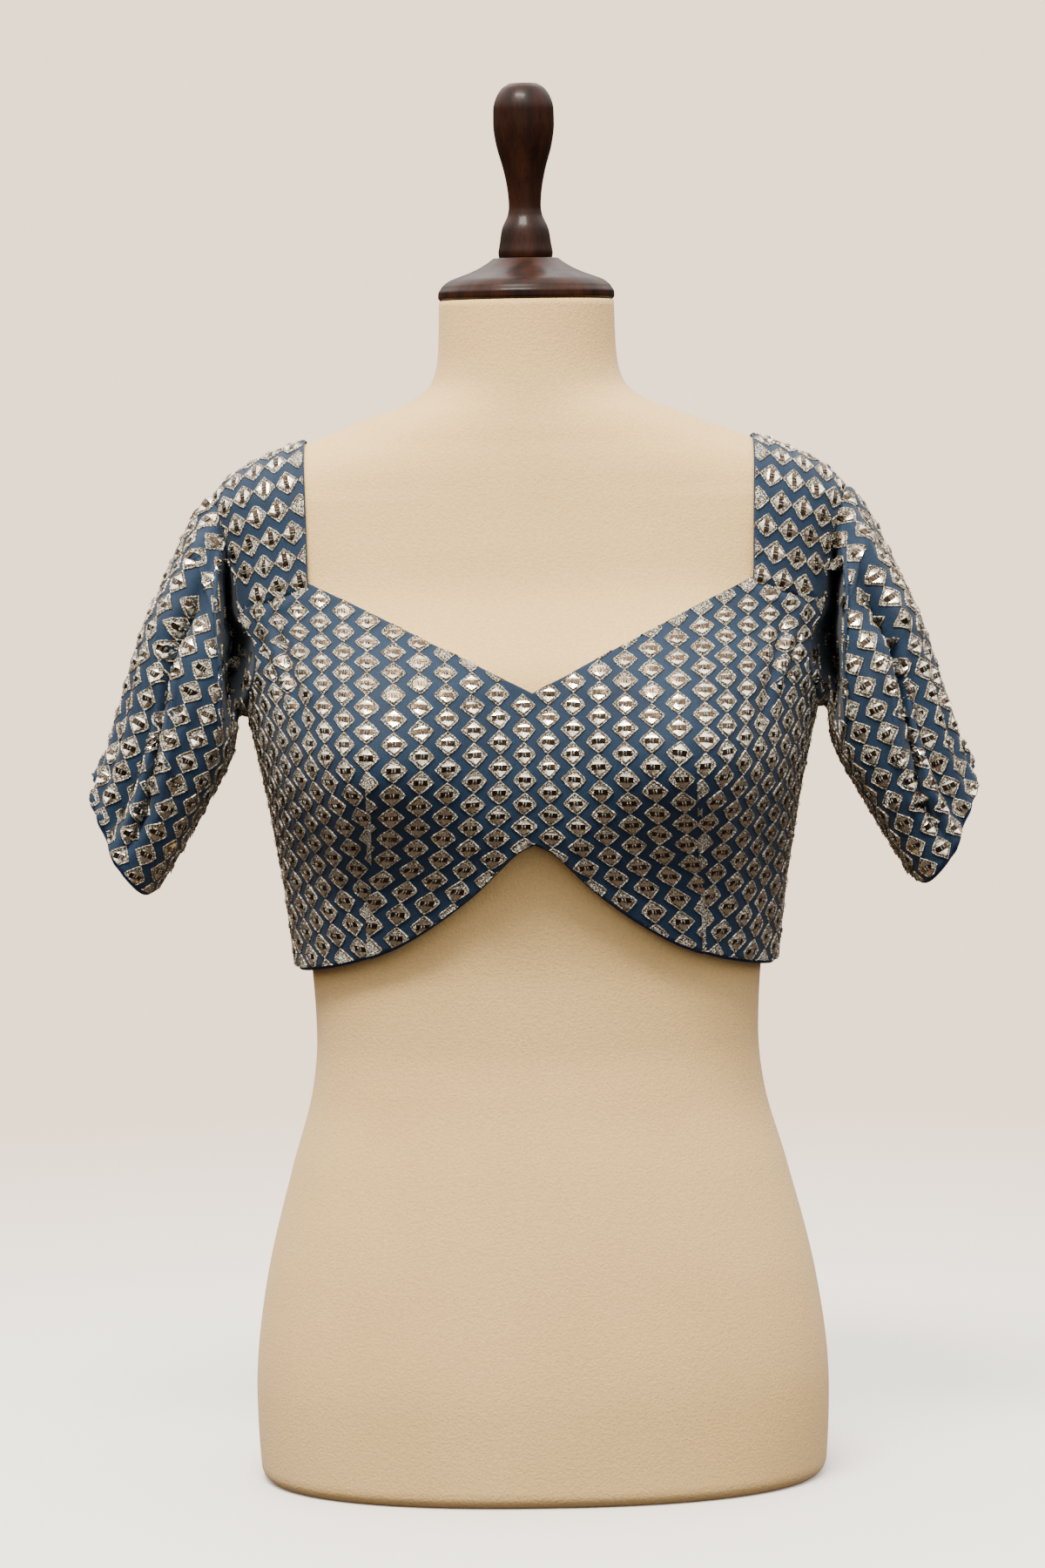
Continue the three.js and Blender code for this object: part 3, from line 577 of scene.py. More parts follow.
class Cut:
    """Edges of the cut pieces on the side of +X, as (turn, height) places."""

    neck_point, neck_slope = 458.0, 0.49
    strap_corner_x, strap_top_x, strap_top_z = 124.0, 127.0, 597.5
    back_neck, back_corner_z, back_corner_x = 480.0, 530.0, 118.0
    side_hem, underarm = 299.0, 443.0
    front_corner, back_corner = 0.25, 0.78
    dart_x = 90.0
    seam = 0.12
    side_gap, centre_gap = 0.0012, 0.0018
    underarm_share = 2 / 3
    hem_pull = 2.5
    front_neck_share = 4 / 9
    back_neck_share, back_neck_bow = 0.7, 2.6

    armholes = Table("part turn z", [
        (0, 90, 567), (0.03, 87.6, 566), (0.07, 85.2, 560.5), (0.12, 83.3, 546), (0.18, 82, 523),
        (0.25, 81, 502), (0.31, 76, 488), (0.37, 74, 474), (0.43, 77.5, 458), (0.47, 83, 448),
        (0.5, 90, 443), (0.55, 98, 447), (0.62, 104, 462), (0.7, 106, 482), (0.78, 105.5, 505),
        (0.86, 103, 530), (0.93, 98.5, 557), (0.97, 94, 565.5), (1, 90, 567),
    ])
    hems = Table("x z", [
        (0, 379), (10, 374), (20, 364), (30, 353), (40, 343.5), (51, 334.5), (62, 326.5),
        (75, 318), (92, 310), (110, 304), (128, 299),
    ])

    def armhole(self, part: Array | float) -> Array:
        """The armhole seam at a share of its way round from the top of the shoulder."""
        return packed(self.armholes.at("turn", part) * DEGREE, self.armholes.at("z", part))

    def hem(self, x: Array) -> Array:
        """Height of the front hem at x."""
        return self.hems.at("z", np.abs(x))

    def neckline(self, x: Array | float) -> Array:
        """Height of the front neckline at x."""
        return self.neck_point + self.neck_slope * np.abs(x)

    def on_front(self, x: Array | float, z: Array | float) -> Array:
        """The place on the front at x and z."""
        return packed(FIGURE.turn_at(x, z, False), z)

    def on_back(self, x: float, z: float) -> Array:
        """The place on the back at x and z."""
        return packed(FIGURE.turn_at(x, z, True), z)

    def side_edge(self, corner: float, gap: float) -> Edge:
        """The side seam from the hem to the underarm, and the armhole on to a strap's corner.

        Args:
            corner: the corner's share of the way round the armhole.
            gap: how far the seam stands off the middle of the side.

        Returns:
            The edge, as a function of the share of the way up it.
        """

        def edge(w: Array) -> Array:
            """The place a share of the way up."""
            low = np.clip(w / self.underarm_share, 0, 1)
            seam = packed(SIDE + gap, mix(self.side_hem, self.underarm, low))
            share = np.clip((w - self.underarm_share) / (1 - self.underarm_share), 0, 1)
            hole = self.armhole(mix(0.5, corner, share))
            hole[..., 0] += gap * (1 - share)
            return np.where((w <= self.underarm_share)[..., None], seam, hole)

        return edge

    def patch(self, left: Edge, right: Edge, bottom: Edge, top: Edge, across: Array, up: Array) -> Array:
        """A four-sided patch of places; its hem and top shape only the places near them.

        It is straight from side to side, plus what the bottom and the top differ from that, each times
        a power of the share of the way down or up.

        Args:
            left: its edge at the first column.
            right: its edge at the last column.
            bottom: its edge at the first row.
            top: its edge at the last row.
            across: the columns' shares of the way across.
            up: the rows' shares of the way up.

        Returns:
            Places, columns x rows x 2.
        """
        k, w = across[:, None, None], up[None, :, None]
        zero, one = np.array([0.0]), np.array([1.0])
        straight = mix(left(up)[None], right(up)[None], k)
        low = bottom(across)[:, None] - mix(left(zero)[None], right(zero)[None], k)
        high = top(across)[:, None] - mix(left(one)[None], right(one)[None], k)
        return straight + low * (1 - w) ** self.hem_pull + high * w ** self.hem_pull

    def front_places(self, middle: int, side: int, rows: int) -> Array:
        """The whole front, with a column on each dart.

        Args:
            middle: how many columns lie between the centre and a dart.
            side: how many lie between a dart and the side seam.
            rows: how many rows it has.

        Returns:
            Places, columns x rows x 2, from -X to +X and from the hem up.
        """
        up = np.linspace(0, 1, rows)
        x = np.linspace(0, self.dart_x, middle)[:, None]
        centre = self.on_front(x, mix(self.hem(x), self.neckline(x), up[None, :]))
        corner = self.armhole(self.front_corner)
        neck = self.on_front(self.strap_corner_x, self.neckline(self.strap_corner_x))
        neck_share = self.front_neck_share

        def dart(w: Array) -> Array:
            """The dart's line, a share of the way up it."""
            x_dart = np.full_like(w, self.dart_x)
            return self.on_front(x_dart, mix(self.hem(x_dart), self.neckline(x_dart), w))

        def hem(k: Array) -> Array:
            """The hem from the dart to the side seam."""
            turn = mix(dart(np.array([0.0]))[0, 0], SIDE - self.side_gap, k)
            return packed(turn, self.hem(FIGURE.point(turn, self.side_hem)[..., 0]))

        def top(k: Array) -> Array:
            """The neckline from the dart to the strap, and the strap's seam."""
            x_neck = mix(self.dart_x, self.strap_corner_x, np.clip(k / neck_share, 0, 1))
            share = np.clip((k - neck_share) / (1 - neck_share), 0, 1)[..., None]
            on_neck = self.on_front(x_neck, self.neckline(x_neck))
            return np.where((k <= neck_share)[..., None], on_neck, mix(neck, corner, share))

        edge = self.side_edge(self.front_corner, -self.side_gap)
        outside = self.patch(dart, edge, hem, top, np.linspace(0, 1, side), up)
        right = np.concatenate([centre, outside[1:]])
        return np.concatenate([right[:0:-1] * np.array([-1, 1]), right])

    def back_places(self, columns: int, rows: int) -> Array:
        """Half of the back on the side of +X, from the side seam to the centre back.

        Args:
            columns: how many columns it has.
            rows: how many rows it has.

        Returns:
            Places, columns x rows x 2, from the hem up.
        """
        centre_turn = HALF_TURN - self.centre_gap
        corner = self.armhole(self.back_corner)
        neck = self.on_back(self.back_corner_x, self.back_corner_z)
        neck_share = self.back_neck_share

        def centre(w: Array) -> Array:
            """The closing's line, a share of the way up it."""
            return packed(centre_turn, mix(self.side_hem, self.back_neck, w))

        def hem(k: Array) -> Array:
            """The level hem from the side seam to the centre."""
            return packed(mix(SIDE + self.side_gap, centre_turn, k), self.side_hem)

        def top(k: Array) -> Array:
            """The strap's seam, and the scooped neckline on to the centre."""
            first = np.clip(k / (1 - neck_share), 0, 1)
            shoulder = mix(corner, neck, first[..., None])
            s = np.clip((k - 1 + neck_share) / neck_share, 0, 1)
            rise = mix(self.back_neck, self.back_corner_z, (1 - s) ** self.back_neck_bow)
            scoop = packed(mix(neck[0], centre_turn, s), rise)
            return np.where((k <= 1 - neck_share)[..., None], shoulder, scoop)

        edge = self.side_edge(self.back_corner, self.side_gap)
        return self.patch(edge, centre, hem, top, np.linspace(0, 1, columns), np.linspace(0, 1, rows))

    def strap_places(self, step: Array, columns: int) -> Array:
        """A strap over the shoulder, each row from the armhole to the neck.

        Args:
            step: the rows' steps from -1 at the front to 1 at the back.
            columns: how many points a row has.

        Returns:
            Places, rows x columns x 2.
        """
        away = np.abs(step)
        front_neck = self.neckline(self.strap_corner_x)
        corner_z = np.where(step > 0, self.back_corner_z, front_neck) + self.seam
        corner_x = np.where(step > 0, self.back_corner_x, self.strap_corner_x)
        neck_z = mix(self.strap_top_z, corner_z, step * step)
        neck_x = mix(self.strap_top_x, corner_x, step * step)
        behind, before = (FIGURE.turn_at(neck_x, neck_z, is_back) for is_back in (True, False))
        neck = packed(np.where(step > 0, behind, before), neck_z)
        part = np.where(step < 0, self.front_corner * away, 1 - (1 - self.back_corner) * away)
        arm = self.armhole(part) + packed(0, self.seam * away)
        return mix(arm[:, None], neck[:, None], np.linspace(0, 1, columns)[None, :, None])


CUT = Cut()


@dataclass(frozen=True)
class Fold:
    """A fold of the sleeve from one (part, v) to another, sunk in or, above 0, pushed out.

    width is its half width as a share of the way round, and run how far it reaches past its line.
    """

    start: Pair
    end: Pair
    depth: float
    width: float
    run: float

    def lift(self, part: Array, v: Array) -> Array:
        """Depth times two bell curves, across the line and past its ends.

        Args:
            part: share of the way round the sleeve.
            v: share of the way down it.

        Returns:
            How far the fold lifts the cloth at each place.
        """
        share = np.clip((v - self.start[1]) / (self.end[1] - self.start[1]), 0, 1)
        off = part - mix(self.start[0], self.end[0], share)
        off = off - np.round(off)
        past = (v - mix(self.start[1], self.end[1], share)) / self.run
        return self.depth * bell(off / self.width) * bell(past)


class Gutter:
    """The pocket beside the armhole seam: a trough along it, behind the sharp edge of a ridge."""

    shape = Table("part line trough ridge", [
        (0, 0.06, 0, 0), (0.08, 0.06, 0, 0), (0.13, 0.065, 3, 2), (0.16, 0.08, 16, 6), (0.18, 0.09, 34, 9),
        (0.2, 0.1, 46, 10), (0.25, 0.125, 56, 10), (0.3, 0.155, 60, 10), (0.34, 0.2, 56, 9),
        (0.38, 0.27, 36, 7), (0.43, 0.31, 10, 2), (0.47, 0.32, 0, 0), (1, 0.32, 0, 0),
    ])

    trough_at, trough_width, ridge_width = 0.52, 0.3, 0.24
    trough_way, ridge_way = np.array([0.15, 1, 0]), np.array([0.25, -1, 0])

    def move(self, part: Array, v: Array) -> Array:
        """Moves back by one bell curve and forwards by the next, both across the line.

        Args:
            part: share of the way round the sleeve.
            v: share of the way down it.

        Returns:
            The move at each place.
        """
        along = v / self.shape.at("line", part)
        back = self.shape.at("trough", part) * bell((along - self.trough_at) / self.trough_width)
        forward = self.shape.at("ridge", part) * bell((along - 1) / self.ridge_width)
        return back[..., None] * self.trough_way + forward[..., None] * self.ridge_way


class SleeveShape:
    """The hanging sleeve on the side of +X, as a function of part round it and v down it.

    Each pull is (part, v, width round, width down, x, y): a bell curve that moves the cloth by x, y.
    """

    stand, root, root_run, root_rise, length = 0.03, 0.15, 40.0, 3.5, 150.0
    part_step, turn_step, height_step, seam_lift = 0.003, 0.004, 0.4, 0.8
    axis = unit(np.array([0.36, 0.0, -0.93]))
    back_droop, round_square, folded_square = 0.3, 2.3, 3.6
    rings = Table("v outX outZ inX inZ front back droop", [
        (0, 185, 568, 170, 446, 42, 46, 0), (0.12, 195, 552, 171.5, 440, 48, 52, 2),
        (0.25, 206, 529, 172, 433, 54, 57, 4), (0.4, 216, 503, 173, 424, 57, 59, 7),
        (0.55, 225, 476, 178, 411, 57, 59, 9), (0.7, 233, 450, 188.5, 393, 56, 58, 11),
        (0.85, 241, 428, 201, 371, 54, 56, 12), (1, 252, 408, 216, 347, 51, 53, 13),
    ])
    large_folds = (
        Fold((0.17, 0.3), (0.19, 0.9), -9, 0.035, 0.16),
        Fold((0.08, 0.5), (0.1, 1), 4, 0.05, 0.2),
        Fold((0.72, 0.25), (0.7, 0.95), -8, 0.04, 0.16),
        Fold((0.86, 0.3), (0.84, 0.8), -5, 0.035, 0.16),
    )
    small_folds = (
        Fold((0.055, 0.98), (0.075, 1.1), -17.0, 0.03, 0.1),
        Fold((0.018, 0.96), (0.02, 1.1), 3.5, 0.022, 0.1),
        Fold((0.165, 0.42), (0.27, 0.8), -9.5, 0.015, 0.15),
        Fold((0.2, 0.36), (0.305, 0.76), 3.5, 0.014, 0.08),
        Fold((0.132, 0.36), (0.236, 0.82), 3.5, 0.016, 0.08),
        Fold((0.15, 0.2), (0.16, 0.27), -2.5, 0.012, 0.04),
        Fold((0.09, 0.55), (0.13, 0.98), -3.5, 0.016, 0.08),
        Fold((0.05, 0.05), (0.06, 0.3), -1.6, 0.018, 0.05),
        Fold((0.1, 0.04), (0.11, 0.2), 1.4, 0.014, 0.05),
        Fold((0.28, 0.4), (0.27, 0.9), 2.0, 0.02, 0.1),
        Fold((0.95, 0.05), (0.94, 0.4), -1.8, 0.02, 0.08),
        Fold((0.78, 0.1), (0.77, 0.6), 2.2, 0.02, 0.1),
        Fold((0.64, 0.2), (0.63, 0.8), -2.0, 0.02, 0.1),
    )
    gutter = Gutter()
    pulls = ((0.24, 0.17, 0.15, 0.12, -10.0, 0.0), (0.37, 0.1, 0.09, 0.055, 0.0, 18.0))

    def hole(self, part: Array) -> tuple[Array, Array, Array]:
        """The armhole seam's middle, the way into the hole and the cloth's normal there.

        Args:
            part: shares of the way round.

        Returns:
            Points, ways and normals.
        """

        def at(p: Array, turned: float = 0, raised: float = 0) -> Array:
            """The point of the seam at p, or beside it."""
            place = CUT.armhole(p - np.floor(p))
            return FIGURE.cloth(place[..., 0] + turned, place[..., 1] + raised, self.seam_lift)

        along = unit(at(part + self.part_step) - at(part - self.part_step))
        around = at(part, self.turn_step) - at(part, -self.turn_step)
        upwards = at(part, 0, self.height_step) - at(part, 0, -self.height_step)
        normal = unit(np.cross(around, upwards))
        return at(part), unit(np.cross(normal, along)), normal

    def ring(self, part: Array, v: Array) -> Array:
        """A ring of the hanging sleeve: a squared ellipse, squarer where its front folds in.

        Args:
            part: share of the way round it.
            v: share of the way down the sleeve.

        Returns:
            The points.
        """
        c, s = np.cos(2 * np.pi * part), np.sin(2 * np.pi * part)
        low = np.minimum(v, 1)
        square = np.where((c < 0) & (s > 0), self.folded_square, self.round_square)
        reach = (np.abs(c) ** square + np.abs(s) ** square) ** (-1 / square)
        across = (reach * c + 1) / 2
        depth = np.where(s > 0, -self.rings.at("front", low), self.rings.at("back", low))
        x = mix(self.rings.at("inX", low), self.rings.at("outX", low), across)
        z = mix(self.rings.at("inZ", low), self.rings.at("outZ", low), across)
        droop = self.rings.at("droop", low) * np.where(s > 0, 1, self.back_droop) * np.abs(s) ** 1.5
        far = droop + np.maximum(v - 1, 0) * self.length
        return packed(x, np.abs(reach * s) * depth, z) + self.axis * far[..., None]

    def surface(self, part: Array, v: Array, is_folded: bool) -> tuple[Array, Array]:
        """The sleeve's middle surface and its normals over a whole grid.

        Args:
            part: shares round the sleeve, evenly spaced, once round.
            v: shares down the sleeve.
            is_folded: whether it has the small folds and the pocket too, not only the large folds.

        Returns:
            Points and normals, columns x rows x 3.
        """
        p, w = np.broadcast_arrays(part[:, None], v[None, :])
        hanging = self.ring(p, w)
        seam, inward, normal = (vectors[:, None] for vectors in self.hole(part))
        free = ease01(w / (2 * self.stand))[..., None]
        start = seam + inward * (CUT.seam + self.root_run * w)[..., None] + normal * self.root_rise * free
        turned = ease01((w - self.stand) / (self.root - self.stand))[..., None]
        base = mix(start, hanging, turned)
        for at_part, at_v, around_part, around_v, x, y in self.pulls:
            near = bell((p - at_part) / around_part) * bell((w - at_v) / around_v)
            base = base + (near[..., None] * free) * np.array([x, y, 0])
        if is_folded:
            base = base + self.gutter.move(p, w) * free
        folds = self.large_folds + (self.small_folds if is_folded else ())
        depth = sum(fold.lift(p, w) for fold in folds)
        middle = base + grid_normals(base, True) * (depth[..., None] * free)
        return middle, grid_normals(middle, True)


# ---- Embroidery ----


@dataclass
class Stamp:
    """A small shape that is repeated: points as (across, down, height), faces and their finishes."""

    points: Array
    faces: Array
    finish: Array


@dataclass
class Chart:
    """A stretch of a sheet, from column low to column high, with its own run of the repeat."""

    across: Array
    down: Array
    low: float
    high: float


@dataclass
class Placed:
    """Where repeats lie on a sheet: (column, row) of each, and the step there for a millimetre."""

    centres: Array
    steps: Array
    targets: Array
    lows: Array
    highs: Array
    chart: Chart

    def only(self, kept: Array) -> "Placed":
        """Those of the repeats that are kept."""
        values = (self.centres, self.steps, self.targets, self.lows, self.highs)
        return Placed(*(value[kept] for value in values), self.chart)


@dataclass(frozen=True)
class Diamond:
    """The embroidered diamond and its foil mirror, and how the diamonds follow one another.

    bulge is the exponent of its squared circle, band half the height of the foil's level band.
    """

    pitch: float = 14.2
    half_width: float = 6.75
    half_height: float = 6.55
    bulge: float = 1.14
    segments: int = 20
    foil_share: float = 0.73
    band: float = 1.6
    tip_power: int = 40
    foil_columns: int = 5

    def edge(self, scale: float, tip: float = 0.0) -> Array:
        """Points round the diamond: a squared circle of an exponent just above 1.

        Args:
            scale: share of the full size.
            tip: how far the upper and lower corners run on.

        Returns:
            Points across and down.
        """
        round_it = np.arange(self.segments) * 2 * np.pi / self.segments
        c, s = np.cos(round_it), np.sin(round_it)
        across, down = np.abs(c) / self.half_width, np.abs(s) / self.half_height
        reach = (across ** self.bulge + down ** self.bulge) ** (-1 / self.bulge)
        points = packed(reach * c, reach * s) * scale
        return points + packed(0, np.sign(s) * tip * np.abs(s) ** self.tip_power)

    def rings(self, shapes: list[tuple[Array, float]], closed: bool, finish: int) -> Stamp:
        """A shape of rings one inside the other, each at its own height, from the outside in.

        Args:
            shapes: each ring and its height.
            closed: whether the first and last rings are covered over.
            finish: the number of its finish.

        Returns:
            The stamp.
        """
        points = np.concatenate([
            np.pad(ring, [(0, 0), (0, 1)], constant_values=height) for ring, height in shapes
        ])
        count = len(shapes[0][0])
        numbers = np.arange(len(points)).reshape(len(shapes), count).T
        faces = [quads(numbers, True)]
        if closed:
            faces += [fan(numbers[::-1, 0]), fan(numbers[:, -1])]
        whole = np.concatenate(faces)
        return Stamp(points, whole, np.full(len(whole), finish))

    def pad(self) -> Stamp:
        """The padded metal-thread filling under the foil."""
        return self.rings([(self.edge(1.0), -0.15), (self.edge(0.93), 0.3), (self.edge(0.62), 0.4)], True, 0)

    def outline(self) -> Stamp:
        """The couched thread round the edge: a cord of three sides that follows the diamond."""
        sides = [(1.05, -0.1, 0.3), (0.985, 0.85, 0.5), (0.885, 0.2, 0.0), (1.05, -0.1, 0.3)]
        shape = self.rings([(self.edge(scale, tip), height) for scale, height, tip in sides], False, 1)
        last = 3 * self.segments
        faces = np.where(shape.faces >= last, shape.faces - last, shape.faces)
        return Stamp(shape.points[:last], faces, shape.finish)

    def foil(self) -> Stamp:
        """The foil mirror: a diamond folded twice, so that a level band runs across its middle.

        The leaf above the band falls back from it, and the leaf below starts sunk under the band and
        comes forward, so both leaves look up. A square of the distance across rounds it all.

        Returns:
            The stamp, with the band as its second finish: a dark foil whose tone is painted reflection. It
            stands for the room's dark sides, which the level band also mirrors.
        """
        width, height = self.half_width * self.foil_share, self.half_height * self.foil_share
        tip, above, below, band = 0.98 * height, -0.6 * height, 0.62 * height, self.band
        down = np.array([-tip, above, -band, band, band + 0.1, below, tip])
        rise = np.array([0.2, 0.52, 0.95, 0.9, 0.6, 1.0, 1.45])
        half = width * (1 - np.abs(down / height) ** self.bulge) ** (1 / self.bulge)
        across = np.linspace(-1, 1, self.foil_columns)[:, None] * half[None, :]
        down = np.broadcast_to(down, across.shape)
        rise = rise - 0.02 * across ** 2
        numbers = np.arange(across.size).reshape(across.shape)
        rim = np.concatenate([numbers[:-1, 0], numbers[-1, :-1], numbers[:0:-1, -1], numbers[0, :0:-1]])
        points = packed(across, down, rise).reshape(-1, 3)
        front, back = quads(numbers, False), fan(rim[::-1])
        # faces of the level band, which take the dark foil: painted reflection of the room's dark sides
        on_painted_band = np.arange(len(front)) % (across.shape[1] - 1) == 2  # the third face down each column
        finish = np.concatenate([on_painted_band, np.zeros(len(back))]).astype(int)
        return Stamp(points, np.concatenate([front, back]), finish)

    def bars(self) -> Stamp:
        """Two short stitches over the middle of the foil: half-round bars side by side."""
        shape = np.array([(-0.34, 1.15), (-0.2, 1.55), (0.2, 1.55), (0.34, 1.15)])
        ends = np.array([-1.3, 1.3])
        bar = packed(shape[:, None, 0], ends[None, :], shape[:, None, 1])
        numbers = np.arange(8).reshape(4, 2)
        points = [bar.reshape(-1, 3) + np.array([shift, 0, 0]) for shift in (-0.72, 0.72)]
        one = np.concatenate([quads(numbers, False), numbers[None, ::-1, 0], numbers[None, :, 1]])
        return Stamp(np.concatenate(points), np.concatenate([one, one + 8]), np.full(2 * len(one), 2))


def fan(ring: Array) -> Array:
    """Four-cornered faces that cover a ring of an even number of points."""
    odd = np.arange(1, len(ring) - 2, 2)
    return packed(ring[0], ring[odd], ring[odd + 1], ring[odd + 2])


class Stitcher:
    """Lays diamonds on a sheet, cut off at its edges, and makes their meshes.

    Distances on the grid are in cells. A repeat's place is found from the nearest grid point by
    rounds of Newton's steps, each damped and no longer than longest. A face may be stretched to
    its own size times stretch, plus slack. The spreads are those of the chance differences.
    """

    damping = 0.8
    find_rounds, find_longest, find_miss = 12, 1.5, 1.5
    lay_rounds, lay_longest = 5, 1.0
    slope_reach, least_slope = 0.3, 1e-6
    edge_gap, mirror_gap, least_cut = 0.15, 1.2, 1e-6
    stretch, slack = 1.8, 1.0
    spin_spread, lean_spread, centre_spread, point_spread = 0.035, 0.012, 0.15, 0.12
    mirror_spin = 1.5

    def __init__(self, sheet: Sheet, seed: int, unrest: float = 0.045) -> None:
        """Takes the sheet's outer side as the ground to stitch on.

        Args:
            sheet: the cloth.
            seed: where its chance differences start.
            unrest: how unevenly its mirrors are tilted.
        """
        self.unrest = unrest
        self.ground = sheet.outside
        self.up = grid_normals(self.ground, False)
        self.chance = np.random.default_rng(seed)
        self.shape = Diamond()

    def place(self, chart: Chart, start: Pair, spare: float) -> Placed:
        """Finds the repeats of a chart.

        Args:
            chart: the stretch of cloth.
            start: across and down of one repeat in an even column.
            spare: how many cells beyond the edge a repeat's middle may lie.

        Returns:
            The repeats that lie on the stretch.
        """
        pitch = self.shape.pitch
        first = int(chart.low)
        flat = packed(chart.across, chart.down)
        near = flat[first:int(chart.high) + 1]
        columns, rows = (
            np.arange(math.floor((near[..., i].min() - start[i]) / pitch) - 1,
                      math.ceil((near[..., i].max() - start[i]) / pitch) + 2)
            for i in (0, 1)
        )
        column, row = (values.ravel() for values in np.meshgrid(columns, rows, indexing="ij"))
        shift = np.where(column % 2 == 0, 0.0, 0.5)
        targets = packed(start[0] + column * pitch, start[1] + (row + shift) * pitch)
        best = np.array([np.square(near - target).sum(axis=-1).argmin() for target in targets])
        place = packed(first + best // near.shape[1], best % near.shape[1]).astype(float)
        place = self._found(flat, place, targets, self.find_rounds, self.find_longest)
        missing = np.linalg.norm(targets - bilinear(flat, place), axis=-1)
        inside = (place[:, 0] >= chart.low - spare) & (place[:, 0] <= chart.high + spare)
        inside &= (place[:, 1] >= -spare) & (place[:, 1] <= flat.shape[1] - 1 + spare)
        lows, highs = (np.full(len(place), float(end)) for end in (chart.low, chart.high))
        found = Placed(place, self._steps(flat, place), targets, lows, highs, chart)
        return found.only(inside & (missing < self.find_miss))

    def _found(self, flat: Array, at: Array, targets: Array, rounds: int, longest: float) -> Array:
        """Moves places on the grid by Newton's steps to where the flat cloth has their targets.

        Args:
            flat: the flat cloth's places, columns x rows x 2.
            at: (column, row) to start from.
            targets: the places on the flat cloth that they are to reach.
            rounds: how many steps are taken.
            longest: the longest step, in cells.

        Returns:
            The (column, row) of each target.
        """
        for _ in range(rounds):
            missing = targets - bilinear(flat, at)
            step = np.einsum("...ij,...j->...i", self._steps(flat, at), missing)
            at = at + self.damping * np.clip(step, -longest, longest)
        return at

    def _steps(self, flat: Array, at: Array) -> Array:
        """The step on the grid for a millimetre on the flat cloth: the inverse of its slopes there."""
        reach = self.slope_reach
        slopes = [bilinear(flat, at + step) - bilinear(flat, at - step) for step in np.eye(2) * reach]
        return np.linalg.inv(packed(*slopes) / (2 * reach) + np.eye(2) * self.least_slope)

    def lay(self, placed: Placed, stamp: Stamp, spin: Array, sway: Array, tilt: Array) -> Laid:
        """Lays one stamp at every repeat.

        Args:
            placed: the repeats.
            stamp: the shape.
            spin: turn of each repeat.
            sway: chance moves of each point, across and down.
            tilt: slope of each repeat across and down.

        Returns:
            Points, faces, the faces' finishes and the points' moves from their middles, with the
            faces left out that the edges cut off or that are stretched too far.
        """
        c, s = np.cos(spin)[:, None], np.sin(spin)[:, None]
        across = stamp.points[None, :, 0] * c - stamp.points[None, :, 1] * s + sway[..., 0]
        down = stamp.points[None, :, 0] * s + stamp.points[None, :, 1] * c + sway[..., 1]
        moves = packed(across, down)
        at = placed.centres[:, None] + np.einsum("mij,mvj->mvi", placed.steps, moves)
        flat = packed(placed.chart.across, placed.chart.down)
        at = self._found(flat, at, placed.targets[:, None] + moves, self.lay_rounds, self.lay_longest)
        gap, rows = self.edge_gap, flat.shape[1] - 1
        column = np.clip(at[..., 0], placed.lows[:, None] + gap, placed.highs[:, None] - gap)
        held = packed(column, np.clip(at[..., 1], gap, rows - gap))
        cut = np.abs(held - at).max(axis=-1) > self.least_cut
        height = stamp.points[None, :, 2] + moves[..., 0] * tilt[:, :1] + moves[..., 1] * tilt[:, 1:]
        ground, up = (bilinear(grid, held) for grid in (self.ground, self.up))
        points = ground + unit(up) * height[..., None]
        first = np.arange(len(at))[:, None, None] * len(stamp.points)
        faces = (stamp.faces[None] + first).reshape(-1, stamp.faces.shape[1])
        points = points.reshape(-1, 3)
        own = np.tile(np.linalg.norm(np.ptp(stamp.points[stamp.faces], axis=1), axis=-1), len(at))
        kept = ~cut.reshape(-1)[faces].all(axis=1)
        kept &= np.linalg.norm(np.ptp(points[faces], axis=1), axis=-1) < self.stretch * own + self.slack
        return points, faces[kept], np.tile(stamp.finish, len(at))[kept], moves.reshape(-1, 2)

    def sew(self, name: str, runs: list[Placed]) -> tuple[Piece, Piece]:
        """Makes the stitching and the foil mirrors of a sheet.

        Args:
            name: the sheet's name.
            runs: its repeats.

        Returns:
            The stitching, with fillings, outlines and bars, and the mirrors.
        """
        stitched: list[Laid] = []
        foils: list[Laid] = []
        shape = self.shape
        for placed in runs:
            count = len(placed.centres)
            tone = self.chance.random(count)
            spin = self.chance.normal(0, self.spin_spread, count)
            lean = self.chance.normal(0, self.lean_spread, (count, 2))
            tilt = self.chance.normal(0, self.unrest, (count, 2))
            centre = self.chance.normal(0, self.centre_spread, (count, 1, 2))
            for stamp in (shape.pad(), shape.outline()):
                sway = self.chance.normal(0, self.point_spread, (count, shape.segments, 2))
                sway = np.tile(sway, (1, 3, 1))
                laid = self.lay(placed, stamp, spin, sway, lean)
                stitched.append((*laid, np.repeat(tone, len(stamp.points))))
            (column, row), gap = placed.centres.T, self.mirror_gap
            whole = (column > placed.lows + gap) & (column < placed.highs - gap)
            whole &= (row > gap) & (row < placed.chart.down.shape[1] - 1 - gap)
            held = placed.only(whole)
            for group, stamp in ((foils, shape.foil()), (stitched, shape.bars())):
                sway = np.repeat(centre[whole], len(stamp.points), axis=1)
                laid = self.lay(held, stamp, spin[whole] * self.mirror_spin, sway, tilt[whole])
                group.append((*laid, np.repeat(tone[whole], len(stamp.points))))
        mirrors = self._join(f"{name}_mirrors", foils)
        mirrors.data.polygons.foreach_set("use_smooth", np.zeros(len(mirrors.data.polygons), dtype=bool))
        return self._join(f"{name}_stitching", stitched), mirrors

